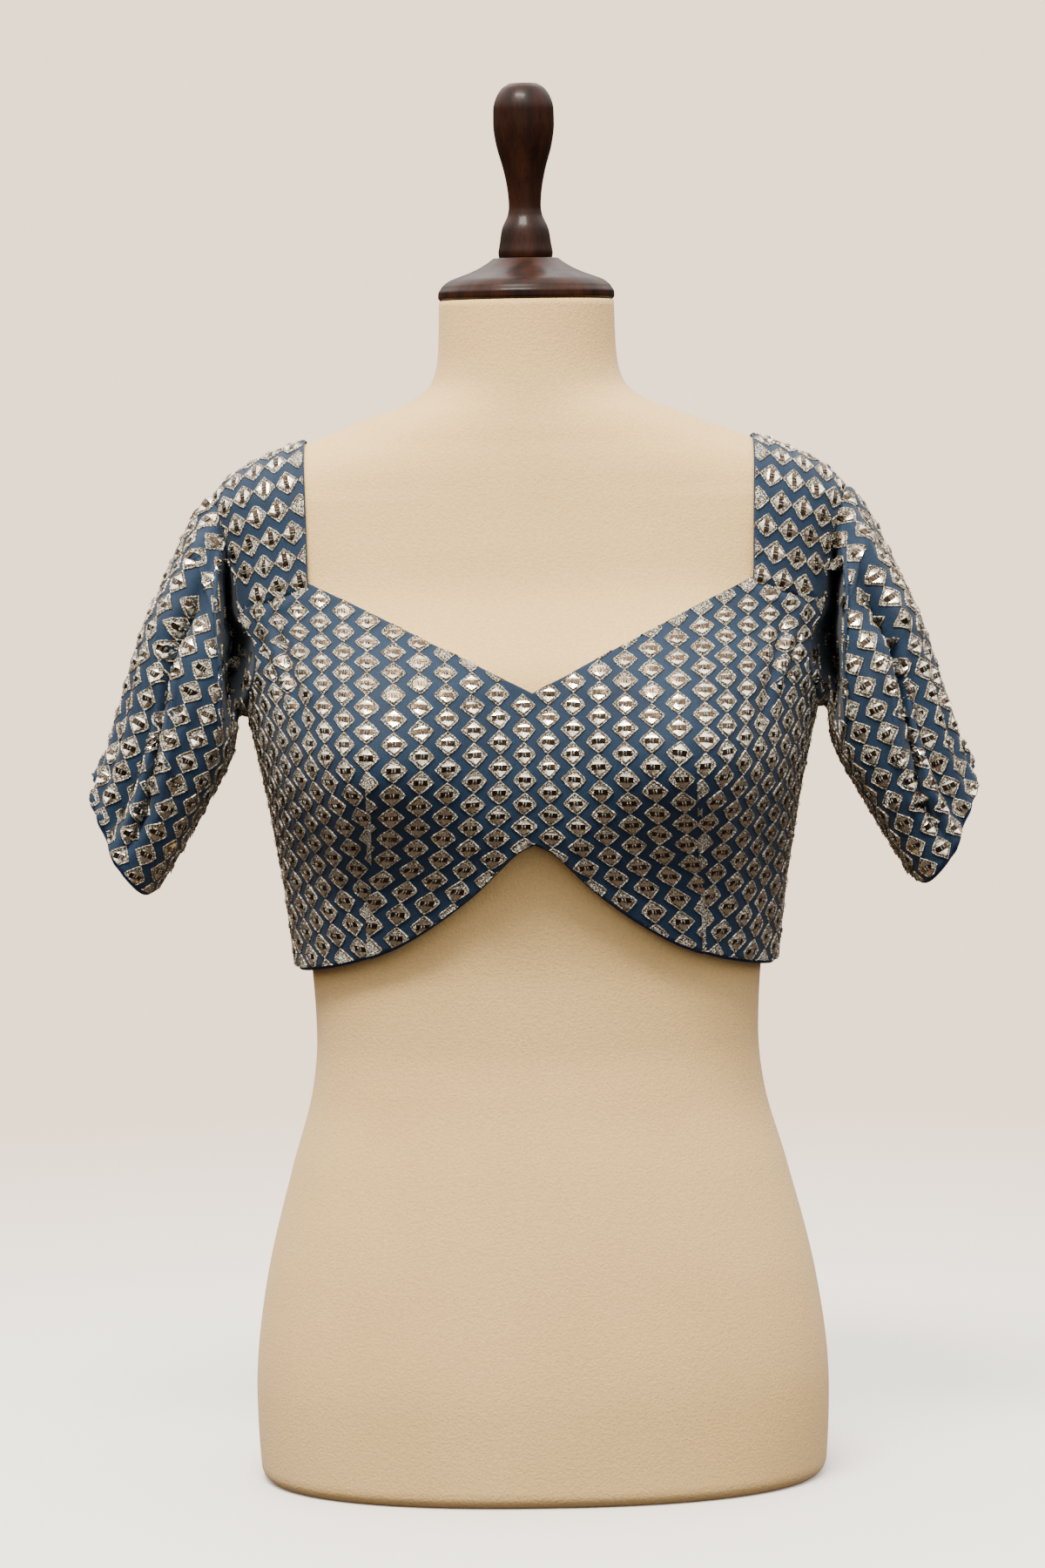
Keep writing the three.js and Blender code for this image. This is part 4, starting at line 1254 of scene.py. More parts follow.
    def _join(self, name: str, parts: list[Laid]) -> Piece:
        """Joins laid stamps into one piece, each repeat with its own tone and its own map.

        Args:
            name: the piece's name.
            parts: what lay gave for each stamp, and the points' tones.

        Returns:
            The new piece.
        """
        points, faces, finish, local, tone = zip(*parts)
        first = np.cumsum([0] + [len(part) for part in points[:-1]])
        faces = np.concatenate([part + start for part, start in zip(faces, first)])
        points, finish, local, tone = (np.concatenate(part) for part in (points, finish, local, tone))
        used, faces = np.unique(faces, return_inverse=True)
        piece = make_piece(name, points[used], [faces.reshape(-1, 4)], local[used] * REPEAT_MAP)
        if len(piece.data.polygons) == len(finish):
            piece.data.polygons.foreach_set("material_index", finish.astype(np.int32))
        tones = piece.data.attributes.new("tone", "FLOAT", "POINT")
        tones.data.foreach_set("value", tone[used].astype(np.float32))
        return piece


# ---- Finishes ----


def tint(tone: Tone) -> tuple[float, float, float, float]:
    """A colour of 0 to 255 levels as the shader's linear light, with 1 for alpha."""
    levels = [level / 255 for level in tone]
    linear = [level / 12.92 if level <= 0.04045 else ((level + 0.055) / 1.055) ** 2.4 for level in levels]
    return linear[0], linear[1], linear[2], 1.0


class Board:
    """A node tree with short ways to add nodes and join them."""

    def __init__(self, tree: bpy.types.NodeTree) -> None:
        """Takes the tree to build in."""
        self.tree = tree

    def give(self, socket: Socket, value: object) -> None:
        """Joins an input to another node's output, or sets its value."""
        if isinstance(value, Socket):
            self.tree.links.new(value, socket)
        else:
            socket.default_value = value

    def set(self, node: Node, inputs: dict) -> Node:
        """Gives a node its inputs by name or number, and returns it."""
        for key, value in inputs.items():
            self.give(node.inputs[key], value)
        return node

    def add(self, kind: str, inputs: dict | None = None, **settings: object) -> Node:
        """Adds a node, sets it up, and joins or sets its inputs.

        Args:
            kind: the node's type.
            inputs: a socket or a value for inputs by name or number.
            settings: the node's own settings.

        Returns:
            The node.
        """
        node = self.tree.nodes.new(kind)
        for name, value in settings.items():
            setattr(node, name, value)
        return self.set(node, inputs or {})

    def math(self, operation: str, first: object, second: object = 0.0, clamp: bool = False) -> Socket:
        """One step of arithmetic."""
        node = self.add("ShaderNodeMath", {0: first, 1: second}, operation=operation, use_clamp=clamp)
        return node.outputs[0]

    def blend(self, share: object, first: object, second: object, how: str = "MIX") -> Socket:
        """A mix of two colours.

        Args:
            share: how much of the second is taken.
            first: a colour.
            second: another.
            how: the way to mix them.

        Returns:
            The mixed colour.
        """
        node = self.add("ShaderNodeMix", data_type="RGBA", blend_type=how)
        colours = [socket for socket in node.inputs if socket.type == "RGBA"]
        for socket, value in zip([node.inputs["Factor"], *colours], (share, first, second)):
            self.give(socket, value)
        return next(socket for socket in node.outputs if socket.type == "RGBA")

    def range(self, value: object, low: float, high: float, start: float = 0.0, end: float = 1.0) -> Socket:
        """A value carried from one range to another, and kept inside it."""
        inputs = {0: value, 1: low, 2: high, 3: start, 4: end}
        return self.add("ShaderNodeMapRange", inputs).outputs[0]

    def noise(self, vector: object, scale: object, detail: float = 3.0, rough: float = 0.5) -> Socket:
        """Soft noise at a place."""
        inputs = {"Vector": vector, "Scale": scale, "Detail": detail, "Roughness": rough}
        return self.add("ShaderNodeTexNoise", inputs).outputs["Fac"]

    def shaded(self, colour: Socket, shade: Socket) -> Socket:
        """A colour multiplied by a grey of this brightness."""
        grey = self.add("ShaderNodeCombineColor", {0: shade, 1: shade, 2: shade}).outputs[0]
        return self.blend(1.0, colour, grey, "MULTIPLY")

    def bump(self, strength: float, distance: float, height: Socket) -> Socket:
        """A normal tipped by the slopes of a height."""
        inputs = {"Strength": strength, "Distance": distance, "Height": height}
        return self.add("ShaderNodeBump", inputs).outputs[0]


def new_group(name: str, inputs: dict[str, str], outputs: dict[str, str]) -> tuple[Board, Node, Node]:
    """An empty shader node group with named inputs and outputs.

    Args:
        name: the group's name.
        inputs: socket type by name.
        outputs: socket type by name.

    Returns:
        The board, and the group's input and output nodes.
    """
    tree = bpy.data.node_groups.new(name, "ShaderNodeTree")
    for in_out, sockets in (("INPUT", inputs), ("OUTPUT", outputs)):
        for socket, kind in sockets.items():
            tree.interface.new_socket(socket, in_out=in_out, socket_type=f"NodeSocket{kind}")
    board = Board(tree)
    return board, board.add("NodeGroupInput"), board.add("NodeGroupOutput")


def weave_group() -> bpy.types.NodeTree:
    """Crossing threads: the height of an over-and-under weave with uneven yarns."""
    board, given, out = new_group(
        "weave",
        {"Vector": "Vector", "Threads": "Float", "Slub": "Float"},
        {"Height": "Float", "Slubs": "Float"})
    slub = board.noise(given.outputs["Vector"], 60.0, 2.0)
    shift = board.math("MULTIPLY", slub, given.outputs["Slub"])
    parts = board.add("ShaderNodeSeparateXYZ", {0: given.outputs["Vector"]})
    waves = []
    for axis in ("X", "Y"):
        run = board.math("ADD", board.math("MULTIPLY", parts.outputs[axis], given.outputs["Threads"]), shift)
        waves.append(board.math("SINE", board.math("MULTIPLY", run, math.tau)))
    height = board.math("MULTIPLY", waves[0], waves[1])
    board.set(out, {"Height": board.math("ADD", board.math("MULTIPLY", height, 0.5), 0.5), "Slubs": slub})
    return board.tree


def mottle_group() -> bpy.types.NodeTree:
    """Two colours that drift into each other by noise."""
    board, given, out = new_group(
        "mottle",
        {"Vector": "Vector", "Scale": "Float", "Amount": "Float", "First": "Color", "Second": "Color"},
        {"Color": "Color"})
    mask = board.range(board.noise(given.outputs["Vector"], given.outputs["Scale"], 4.0), 0.3, 0.7)
    share = board.math("MULTIPLY", mask, given.outputs["Amount"], clamp=True)
    board.set(out, {"Color": board.blend(share, given.outputs["First"], given.outputs["Second"])})
    return board.tree


class Groups:
    """The shader node groups that several finishes share."""

    def __init__(self) -> None:
        """Builds each group once."""
        self.weave = weave_group()
        self.mottle = mottle_group()


def new_material(name: str) -> tuple[Material, Board, Node]:
    """A new material, its board and its Principled shader."""
    material = bpy.data.materials.new(name)
    material.use_nodes = True
    return material, Board(material.node_tree), material.node_tree.nodes["Principled BSDF"]


def own_place(board: Board) -> tuple[Socket, Socket, Socket]:
    """The map of a repeat, where 1 is 10 mm; the same moved on by its tone; and its tone."""
    local = board.add("ShaderNodeUVMap", uv_map="cloth").outputs[0]
    tone = board.add("ShaderNodeAttribute", attribute_name="tone").outputs["Fac"]
    far = board.add("ShaderNodeVectorMath", {0: (97.0, 61.0, 37.0), "Scale": tone}, operation="SCALE")
    moved = board.add("ShaderNodeVectorMath", {0: local, 1: far.outputs[0]}, operation="ADD")
    return local, moved.outputs[0], tone


@dataclass(frozen=True)
class Finish:
    """What every finish has: its name, its own tone, and a second tone that it drifts to."""

    name: str
    first: Tone
    second: Tone

    def make(self, groups: Groups) -> Material:
        """Builds the material."""
        material, board, shader = new_material(self.name)
        board.set(shader, self.inputs(board, groups))
        return material

    def inputs(self, board: Board, groups: Groups) -> dict[str, object]:
        """Builds the finish's own nodes.

        Args:
            board: the material's board.
            groups: the shared groups.

        Returns:
            The shader's inputs by name, each a value or a socket.
        """
        raise NotImplementedError

    def drift(self, board: Board, groups: Groups, where: Socket, scale: float, amount: float) -> Socket:
        """The first tone drifting to the second by noise at a place, so fine and so far."""
        first, second = tint(self.first), tint(self.second)
        inputs = {"Vector": where, "Scale": scale, "Amount": amount, "First": first, "Second": second}
        return board.add("ShaderNodeGroup", inputs, node_tree=groups.mottle).outputs["Color"]


@dataclass(frozen=True)
class Crepe(Finish):
    """Plain crepe: a fine twist weave, soft sheen and a slow drift of colour."""

    def inputs(self, board: Board, groups: Groups) -> dict[str, object]:
        """Nodes on the cloth's own map, where 1 is 100 mm."""
        where = board.add("ShaderNodeUVMap", uv_map="cloth").outputs[0]
        colour = self.drift(board, groups, where, 3.0, 0.8)
        threads = {"Vector": where, "Threads": 260.0, "Slub": 1.6}
        weave = board.add("ShaderNodeGroup", threads, node_tree=groups.weave)
        fine = board.math("MULTIPLY", board.noise(where, 90.0), 1.6)
        return {
            "Base Color": board.shaded(colour, board.range(weave.outputs["Slubs"], 0.35, 0.65, 0.86, 1.12)),
            "Roughness": 0.62,
            "Sheen Weight": 0.08,
            "Sheen Roughness": 0.45,
            "Specular IOR Level": 0.22,
            "Normal": board.bump(0.35, 0.00025, board.math("ADD", weave.outputs["Height"], fine)),
        }


@dataclass(frozen=True)
class MetalThread(Finish):
    """Crinkled metallic thread: bright and dark flecks that shine, with a rough surface.

    gap is the tone of the dark flecks, fleck their fineness and gap_share their share.
    """

    gap: Tone
    fleck: float
    gap_share: float
    metallic: float
    roughness: float
    dashes: float = 0.0

    def inputs(self, board: Board, groups: Groups) -> dict[str, object]:
        """Nodes on the map of each repeat."""
        local, where, tone = own_place(board)
        flecks = board.noise(where, self.fleck, 3.0, 0.7)
        cells = board.add("ShaderNodeTexVoronoi", {"Vector": where, "Scale": self.fleck * 1.3})
        colour = self.drift(board, groups, where, self.fleck * 0.8, 1.0)
        shade = board.range(flecks, 0.62 - self.gap_share, 0.54 - self.gap_share)
        if self.dashes:
            ring = board.math("MULTIPLY", self.ring(board, local, flecks), self.dashes)
            shade = board.math("MAXIMUM", shade, ring)
        base = board.blend(shade, colour, tint(self.gap))
        return {
            "Base Color": board.shaded(base, board.range(tone, 0.0, 1.0, 0.86, 1.08)),
            "Metallic": self.metallic,
            "Roughness": board.range(flecks, 0.3, 0.7, self.roughness - 0.12, self.roughness + 0.15),
            "Normal": board.bump(1.0, 0.0009, board.math("ADD", flecks, cells.outputs["Distance"])),
        }

    def ring(self, board: Board, local: Socket, flecks: Socket) -> Socket:
        """Dark gaps between the short stitches that tie the outline down, in a ring inside it.

        The ring is where the sum of the shares across and down lies near 0.86, and the gaps are
        waves of their difference.

        Args:
            board: the material's board.
            local: the map of the repeat.
            flecks: noise that makes the waves uneven.

        Returns:
            1 in a gap and 0 elsewhere.
        """
        parts = board.add("ShaderNodeSeparateXYZ", {0: local})
        across, down = (
            board.math("DIVIDE", board.math("ABSOLUTE", parts.outputs[axis]), half * REPEAT_MAP)
            for axis, half in (("X", Diamond.half_width), ("Y", Diamond.half_height))
        )
        out = board.math("SUBTRACT", board.math("ADD", across, down), 0.86)
        near = board.range(board.math("ABSOLUTE", out), 0.06, 0.1, 1.0, 0.0)
        along = board.math("MULTIPLY", board.math("SUBTRACT", across, down), 19.0)
        waves = board.math("SINE", board.math("ADD", along, board.math("MULTIPLY", flecks, 6.0)))
        return board.math("MULTIPLY", near, board.range(waves, -0.5, 0.1))


@dataclass(frozen=True)
class Foil(Finish):
    """A foil mirror: champagne metal with fine streaks down it, slightly uneven; in dark tones it is the
    band's painted reflection.
    """

    roughness: float

    def inputs(self, board: Board, groups: Groups) -> dict[str, object]:
        """Nodes on the map of each repeat, with a tone of its own for each mirror."""
        _, where, tone = own_place(board)
        streaked = board.add("ShaderNodeMapping", {"Vector": where, "Scale": (1.0, 0.22, 1.0)}).outputs[0]
        streaks = board.noise(streaked, 22.0, 3.0, 0.6)
        colour = self.drift(board, groups, streaked, 12.0, 0.9)
        dents = board.math("MULTIPLY", board.noise(where, 4.0, 2.0), 2.0)
        return {
            "Base Color": board.shaded(colour, board.range(tone, 0.0, 1.0, 0.85, 1.0)),
            "Metallic": 1.0,
            "Roughness": board.range(streaks, 0.3, 0.7, self.roughness - 0.06, self.roughness + 0.12),
            "Normal": board.bump(0.5, 0.00025, board.math("ADD", streaks, dents)),
        }


@dataclass(frozen=True)
class CoverCloth(Finish):
    """The form's stretched cover: beige brushed jersey with a fine pebbled nap."""

    def inputs(self, board: Board, groups: Groups) -> dict[str, object]:
        """Nodes on object coordinates, in metres."""
        where = board.add("ShaderNodeTexCoord").outputs["Object"]
        nap = board.noise(where, 620.0, 3.0, 0.6)
        fine = board.math("MULTIPLY", board.noise(where, 1500.0, 2.0, 0.6), 0.4)
        colour = self.drift(board, groups, where, 9.0, 0.8)
        return {
            "Base Color": board.shaded(colour, board.range(nap, 0.3, 0.7, 0.9, 1.06)),
            "Roughness": 0.88,
            "Sheen Weight": 0.12,
            "Sheen Roughness": 0.5,
            "Specular IOR Level": 0.2,
            "Normal": board.bump(0.6, 0.0008, board.math("ADD", nap, fine)),
        }


@dataclass(frozen=True)
class TurnedWood(Finish):
    """Dark stained hardwood under lacquer, with streaks along the grain."""

    def inputs(self, board: Board, groups: Groups) -> dict[str, object]:
        """Nodes on object coordinates drawn out along the grain."""
        where = board.add("ShaderNodeTexCoord").outputs["Object"]
        along = board.add("ShaderNodeMapping", {"Vector": where, "Scale": (1.0, 1.0, 0.16)}).outputs[0]
        pores = board.noise(along, 900.0, 3.0, 0.6)
        colour = self.drift(board, groups, along, 90.0, 1.0)
        return {
            "Base Color": board.shaded(colour, board.range(pores, 0.35, 0.5, 0.7, 1.0)),
            "Roughness": board.range(board.noise(where, 60.0, 4.0, 0.6), 0.3, 0.7, 0.3, 0.42),
            "Specular IOR Level": 0.08,
            "Coat Weight": 0.07,
            "Coat Roughness": 0.18,
            "Normal": board.bump(0.25, 0.0003, pores),
        }


class Slot(Enum):
    """The material slots, by name."""

    COVER = "form_cover"
    WOOD = "turned_wood"
    CREPE = "embroidered_cloth"
    PLAIN = "plain_cloth"


class Finishes:
    """Every finish of the part, made once."""

    def __init__(self) -> None:
        """Builds the shared groups and then each material."""
        groups = Groups()
        self.crepe = Crepe("blue_crepe", (14, 37, 58), (10, 28, 47)).make(groups)
        self.facing = Crepe("blue_facing", (16, 38, 76), (12, 30, 62)).make(groups)
        self.filling = MetalThread(
            "metal_filling", (255, 252, 238), (246, 232, 202), gap=(54, 44, 33), fleck=13.0, gap_share=0.055,
            metallic=0.3, roughness=0.36, dashes=0.9).make(groups)
        self.outline = MetalThread(
            "outline_thread", (255, 255, 248), (255, 248, 228), gap=(130, 108, 80), fleck=9.0, gap_share=0.02,
            metallic=0.05, roughness=0.36).make(groups)
        self.bar = MetalThread(
            "bar_stitch", (150, 146, 136), (112, 108, 98), gap=(60, 56, 50), fleck=9.0, gap_share=0.1,
            metallic=0.3, roughness=0.42).make(groups)
        self.foil = Foil("foil_mirror", (255, 250, 232), (190, 168, 138), 0.17).make(groups)
        # the band's dark foil is painted reflection: its dark tones stand for the room's dark sides mirrored
        # in the level band
        self.band = Foil("foil_band_painted_reflection", (104, 86, 68), (54, 42, 32), 0.22).make(groups)
        self.cover = CoverCloth("form_jersey", (206, 170, 113), (198, 161, 104)).make(groups)
        self.wood = TurnedWood("dark_wood", (17, 9, 7), (46, 23, 13)).make(groups)


# ---- The pieces ----


def settle(piece: Piece, slot: Slot, materials: list[Material], *nodes: str) -> Piece:
    """Gives a piece its finishes, its body and the solids that it stands for.

    Args:
        piece: the piece.
        slot: not used.
        materials: its finishes in the order of its faces' numbers.
        nodes: names of the solids that it replaces.

    Returns:
        The piece.
    """
    numbers = np.empty(len(piece.data.polygons), dtype=np.int32)
    piece.data.polygons.foreach_get("material_index", numbers)
    for material in materials:
        piece.data.materials.append(material)
    piece.data.polygons.foreach_set("material_index", numbers)
    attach(piece, "root")
    if nodes:
        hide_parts(*nodes)
    triangles = sum(len(face.vertices) - 2 for face in piece.data.polygons)
    log.info("%s: %d triangles", piece.name, triangles)
    return piece


@dataclass
class DressForm:
    """The padded form with its wooden neck cap and handle.

    rim is the share of its radius that the form's first and last rings keep.
    """

    finishes: Finishes
    round_columns: int = 192
    turned_columns: int = 96
    rim: float = 0.985
    neck_y: float = 3.5
    cap: Table = field(default_factory=lambda: Table("step radius z", [
        (0, 49.4, 677.3), (1, 50.5, 679), (2, 50.4, 681.5), (3, 49, 684), (4, 47.5, 686),
        (5, 44, 688.6), (6, 39, 690.6), (7, 33, 692.8), (8, 27, 695.5), (9, 22, 698.5), (10, 18.6, 701),
    ]))
    handle: Table = field(default_factory=lambda: Table("step radius z", [
        (0, 15.2, 701.3), (1, 15.6, 704), (2, 14.8, 709), (3, 13.2, 718), (4, 9.8, 726), (5, 9.2, 731),
        (6, 10, 741), (7, 12.2, 752), (8, 15.8, 765), (9, 17.4, 777), (10, 17.3, 785), (11, 15.6, 792),
        (12, 12.2, 797.3), (13, 8, 800),
    ]))

    def mesh_cover(self) -> Piece:
        """The form's smooth surface: its own function of turn and height, closed at both ends.

        Returns:
            The new piece.
        """
        turns = np.linspace(0, 2 * np.pi, self.round_columns, endpoint=False)
        turns = np.where(turns > np.pi, turns - 2 * np.pi, turns)
        spans = ((6, 540, 150), (543, 640, 60), (643, 676.4, 12))
        heights = np.concatenate([[0, 1, 3], *(np.linspace(*span) for span in spans)])
        points = FIGURE.point(turns[:, None], heights[None, :])
        top = FIGURE.point(turns[:, None], np.array([[FIGURE.neck_top]]))
        narrow = np.array([self.rim, self.rim, 1])
        rings = [points[:, :1] * narrow, points, top * narrow]
        return self.stack("form_cover", np.concatenate(rings, axis=1))

    def stack(self, name: str, points: Array) -> Piece:
        """A closed solid of rings, fanned to a middle point at both ends.

        Args:
            name: the piece's name.
            points: columns x rings x 3, from the lowest ring up.

        Returns:
            The new piece.
        """
        columns, rows = points.shape[:2]
        numbers = np.arange(columns * rows).reshape(columns, rows)
        ends = np.stack([points[:, 0].mean(axis=0), points[:, -1].mean(axis=0)])
        low, high = columns * rows, columns * rows + 1
        after = np.roll(numbers, -1, axis=0)
        fans = [
            packed(low, after[:, 0], numbers[:, 0]),
            packed(high, numbers[:, -1], after[:, -1]),
        ]
        return make_piece(name, np.concatenate([points.reshape(-1, 3), ends]), [quads(numbers, True), *fans])

    def turned(self, name: str, profile: Table, rows: int) -> Piece:
        """A turned piece: the profile's smooth curve carried once round the neck's axis.

        Args:
            name: the piece's name.
            profile: its radius and height at each step.
            rows: how many rings it has.

        Returns:
            The new piece.
        """
        step = np.linspace(profile.key[0], profile.key[-1], rows)
        radius, z = profile.at("radius", step), profile.at("z", step)
        turn = np.linspace(0, 2 * np.pi, self.turned_columns, endpoint=False)[:, None]
        x, y = radius[None] * np.sin(turn), self.neck_y - radius[None] * np.cos(turn)
        return self.stack(name, packed(x, y, z))

    def dress(self) -> None:
        """Makes the form's pieces and gives them their finishes."""
        settle(self.mesh_cover(), Slot.COVER, [self.finishes.cover], "form_body")
        settle(self.turned("turned_cap", self.cap, 60), Slot.WOOD, [self.finishes.wood], "neck_cap")
        settle(self.turned("turned_handle", self.handle, 90), Slot.WOOD, [self.finishes.wood], "handle")


@dataclass
class Blouse:
    """The crop top: front, backs, straps, sleeves and their facings.

    A start is the place of one diamond on the flat cloth, from the centre line and from the height
    zero_z; shift and dart_run say how the front's chains lean towards the darts.
    """

    finishes: Finishes
    middle_columns: int = 42
    side_columns: int = 44
    rows: int = 92
    back_columns: int = 80
    strap_rows: int = 96
    strap_columns: int = 20
    sleeve_columns: int = 180
    facing_rows: int = 12
    front_start: Pair = (-5.3, 0.0)
    back_start: Pair = (7.1, 3.0)
    strap_start: Pair = (4.0, 2.0)
    sleeve_start: Pair = (3.0, -360.0)
    measure_x: float = 64.0
    zero_z: float = 451.4
    least_gap: float = 0.4
    shift_fade: float = 25.0
    dart_tip: float = 424.0
    dart_overlap: float = 0.7
    facing_drop: float = 1.8
    hem_rise: float = 22.0
    cuff_top: float = 0.91
    facing_gap: float = 0.3
    strap_reach: float = 1.02
    strap_seam: float = 0.985
    strap_tuck: float = -1.35
    strap_lean: float = 19.0
    spare: float = 3.0
    sleeve_spare: float = 1.5
    unrest: float = 0.12
    shift: Table = field(default_factory=lambda: Table("z mm", [
        (300, 14), (320, 13), (340, 11.5), (354, 8), (370, 4.2), (395, 2.2), (410, 1), (430, 0), (600, 0),
    ]))
    dart_run: Table = field(default_factory=lambda: Table("z mm", [
        (302, 133), (340, 118.9), (384, 104.7), (424, 90), (600, 90),
    ]))
    front_creases: tuple[Crease, ...] = (
        Crease((150, 500), (138, 436), -2.8, 4.0),
        Crease((158, 496), (146, 440), 2.4, 3.6),
        Crease((166, 488), (154, 452), -2.2, 3.6),
        Crease((143, 492), (126, 448), 1.6, 4.0),
        Crease((120, 520), (164, 506), -2.2, 3.6),
        Crease((128, 513), (160, 498), 1.6, 3.2),
        Crease((60, 487), (40, 462), -0.8, 4.0),
        Crease((22, 470), (10, 452), -0.9, 4.0),
        Crease((30, 400), (22, 372), 1.2, 9.0),
        Crease((48, 385), (62, 330), 0.9, 8.0),
        Crease((110, 400), (124, 310), 1.0, 9.0),
        Crease((140, 420), (150, 310), -1.0, 9.0),
    )
    back_creases: tuple[Crease, ...] = (
        Crease((120, 470), (60, 455), -0.9, 8.0),
        Crease((130, 440), (70, 432), 0.9, 8.0),
        Crease((40, 420), (55, 320), 0.8, 9.0),
        Crease((95, 400), (88, 310), -0.9, 9.0),
    )

    def level_down(self, at: Array, is_back: bool) -> Array:
        """Distance down the cloth, along a line down it at measure_x.

        Args:
            at: the heights to measure to from zero_z.
            is_back: whether the line lies behind.

        Returns:
            The distance to each height.
        """
        z = np.linspace(620, 285, 400)
        turn = FIGURE.turn_at(np.full_like(z, self.measure_x), z, is_back)
        run = arc(FIGURE.cloth(turn, z, CLOTH_LIFT + CLOTH), 0)
        return np.interp(-at, -z, run) - np.interp(-self.zero_z, -z, run)

    def torso_sheet(self, places: Array, creases: tuple[Crease, ...], levels: Levels) -> Sheet:
        """Cloth over the form at a grid of places, lifted by its creases.

        Args:
            places: (turn, height) of each point of the grid.
            creases: the panel's creases.
            levels: the distances round the cloth in front or behind.

        Returns:
            The sheet, with level rows.
        """
        turn, z = places[..., 0], places[..., 1]
        run = levels.run(turn, z)
        lift = CLOTH_LIFT + sum((crease.lift(np.abs(run), z) for crease in creases), np.zeros_like(z))
        points = FIGURE.cloth(turn, z, np.maximum(lift, self.least_gap - FIGURE.ease(turn, z)))
        return Sheet(points, grid_normals(points, False), run, self.level_down(z, levels.is_back))

    def front(self) -> None:
        """The front, whose repeat runs on across the centre and is taken in at the darts.

        Above a dart's tip a run of the repeat may pass the dart's line, and below it only a little.
        """
        places = CUT.front_places(self.middle_columns, self.side_columns, self.rows)
        levels = Levels(False)
        sheet = self.torso_sheet(places, self.front_creases, levels)
        turn, z = places[..., 0], places[..., 1]
        x = FIGURE.point(turn, z)[..., 0]
        run = sheet.across
        on_dart = levels.run(FIGURE.turn_at(np.full_like(z, CUT.dart_x), z, False), z)
        middle = x - np.sign(x) * self.shift.at("mm", z) * np.clip(np.abs(x) / self.shift_fade, 0, 1)
        side = self.dart_run.at("mm", z) + np.abs(run) - on_dart
        centre = places.shape[0] // 2
        dart = self.middle_columns - 1
        last = places.shape[0] - 1
        stitcher = Stitcher(sheet, 11)
        runs = []
        for across, low, high in (
            (middle, centre - dart, centre + dart),
            (side, centre + dart, last),
            (-side, 0, centre - dart),
        ):
            placed = stitcher.place(Chart(across, sheet.down, low, high), self.front_start, self.spare)
            above = bilinear(z, placed.centres) > self.dart_tip - 2
            placed.lows = np.where(above, 0, np.maximum(placed.lows - self.dart_overlap, 0))
            placed.highs = np.where(above, last, np.minimum(placed.highs + self.dart_overlap, last))
            runs.append(placed)
        sheet.across = np.where(np.abs(x) < CUT.dart_x, middle, np.sign(x) * side)
        self.finish("front", sheet, stitcher.sew("front", runs), "draped")
        self.hem_facing(places)

    def hem_facing(self, places: Array) -> None:
        """The plain facing turned up inside the front hem, which shows as a narrow edge.

        Args:
            places: the front's places.
        """
        z = places[:, :1, 1] + np.linspace(-self.facing_drop, self.hem_rise, self.facing_rows)[None, :]
        turn = np.broadcast_to(places[:, :1, 0], z.shape)
        points = FIGURE.cloth(turn, z, FACING_LIFT)
        sheet = Sheet(points, grid_normals(points, False), arc(points, 0), -arc(points, 1), FACING)
        self.finish("hem_facing", sheet, (), "stretched", Slot.PLAIN)

    def backs(self) -> None:
        """Both halves of the back, mirrored, with level rows."""
        levels = Levels(True)
        places = CUT.back_places(self.back_columns, self.rows)
        for sign, name in SIGNS:
            sheet = self.torso_sheet(places, self.back_creases, levels)
            self.panel(f"back_{name}", sheet, sign, self.back_start, 21 + sign)

    def straps(self) -> None:
        """Both straps, whose chains run slantwise from the armhole up to the neck edge.

        Each end of a strap is tucked under the panel that it is sewn to.
        """
        step = np.linspace(-self.strap_reach, self.strap_reach, self.strap_rows)
        places = CUT.strap_places(step, self.strap_columns)[::-1, ::-1]
        past_seam = (np.abs(step[::-1]) - self.strap_seam) / (self.strap_reach - self.strap_seam)
        tuck = self.strap_tuck * ease01(past_seam)
        points = FIGURE.cloth(places[..., 0], places[..., 1], CLOTH_LIFT + tuck[:, None])
        along, over = arc(points, 0), arc(points, 1)
        flat = laid_flat(points, packed(along, over))
        c, s = math.cos(self.strap_lean * DEGREE), math.sin(self.strap_lean * DEGREE)
        level = flat[..., 0] * c + flat[..., 1] * s
        slant = flat[..., 1] * c - flat[..., 0] * s
        sheet = Sheet(points, grid_normals(points, False), level, slant)
        for sign, name in SIGNS:
            self.panel(f"strap_{name}", sheet, sign, self.strap_start, 31 + sign)

    def sleeves(self) -> None:
        """Both sleeves: rings round from the outside, with the repeat running down from the head."""
        shape = SleeveShape()
        part = np.linspace(0, 1, self.sleeve_columns, endpoint=False)
        v = np.concatenate([np.linspace(0, 0.2, 30), np.linspace(0.212, 1, 62)])
        middle, normals = shape.surface(part, v, True)
        inner = middle - normals * CLOTH / 2
        smooth = self.opened(shape.surface(part, v, False)[0])
        across = arc(smooth, 0)
        across = across - across[len(part) // 2]
        down = smooth[:, -1:] @ shape.axis - (arc(smooth, 1)[:, -1:] - arc(smooth, 1))
        flat = laid_flat(smooth, packed(across, down))
        across, down = flat[..., 0], flat[..., 1]
        facing_v = np.linspace(self.cuff_top, 1 + self.facing_drop / shape.length, self.facing_rows)
        cuff, cuff_normals = shape.surface(part, facing_v, True)
        cuff = cuff - cuff_normals * (CLOTH / 2 + self.facing_gap + FACING)
        inner, normals = self.opened(inner), self.opened(normals)
        tube = Sheet(inner[:-1], normals[:-1], across[:-1], down[:-1], is_round=True)
        for sign, name in SIGNS:
            ground, stitched = mirrored(tube, sign), mirrored(Sheet(inner, normals, across, down), sign)
            stitcher = Stitcher(stitched, 41 + sign, self.unrest)
            chart = Chart(stitched.across, stitched.down, 0, len(part))
            placed = stitcher.place(chart, self.sleeve_start, self.sleeve_spare)
            self.finish(f"sleeve_{name}", ground, stitcher.sew(f"sleeve_{name}", [placed]), "hung")
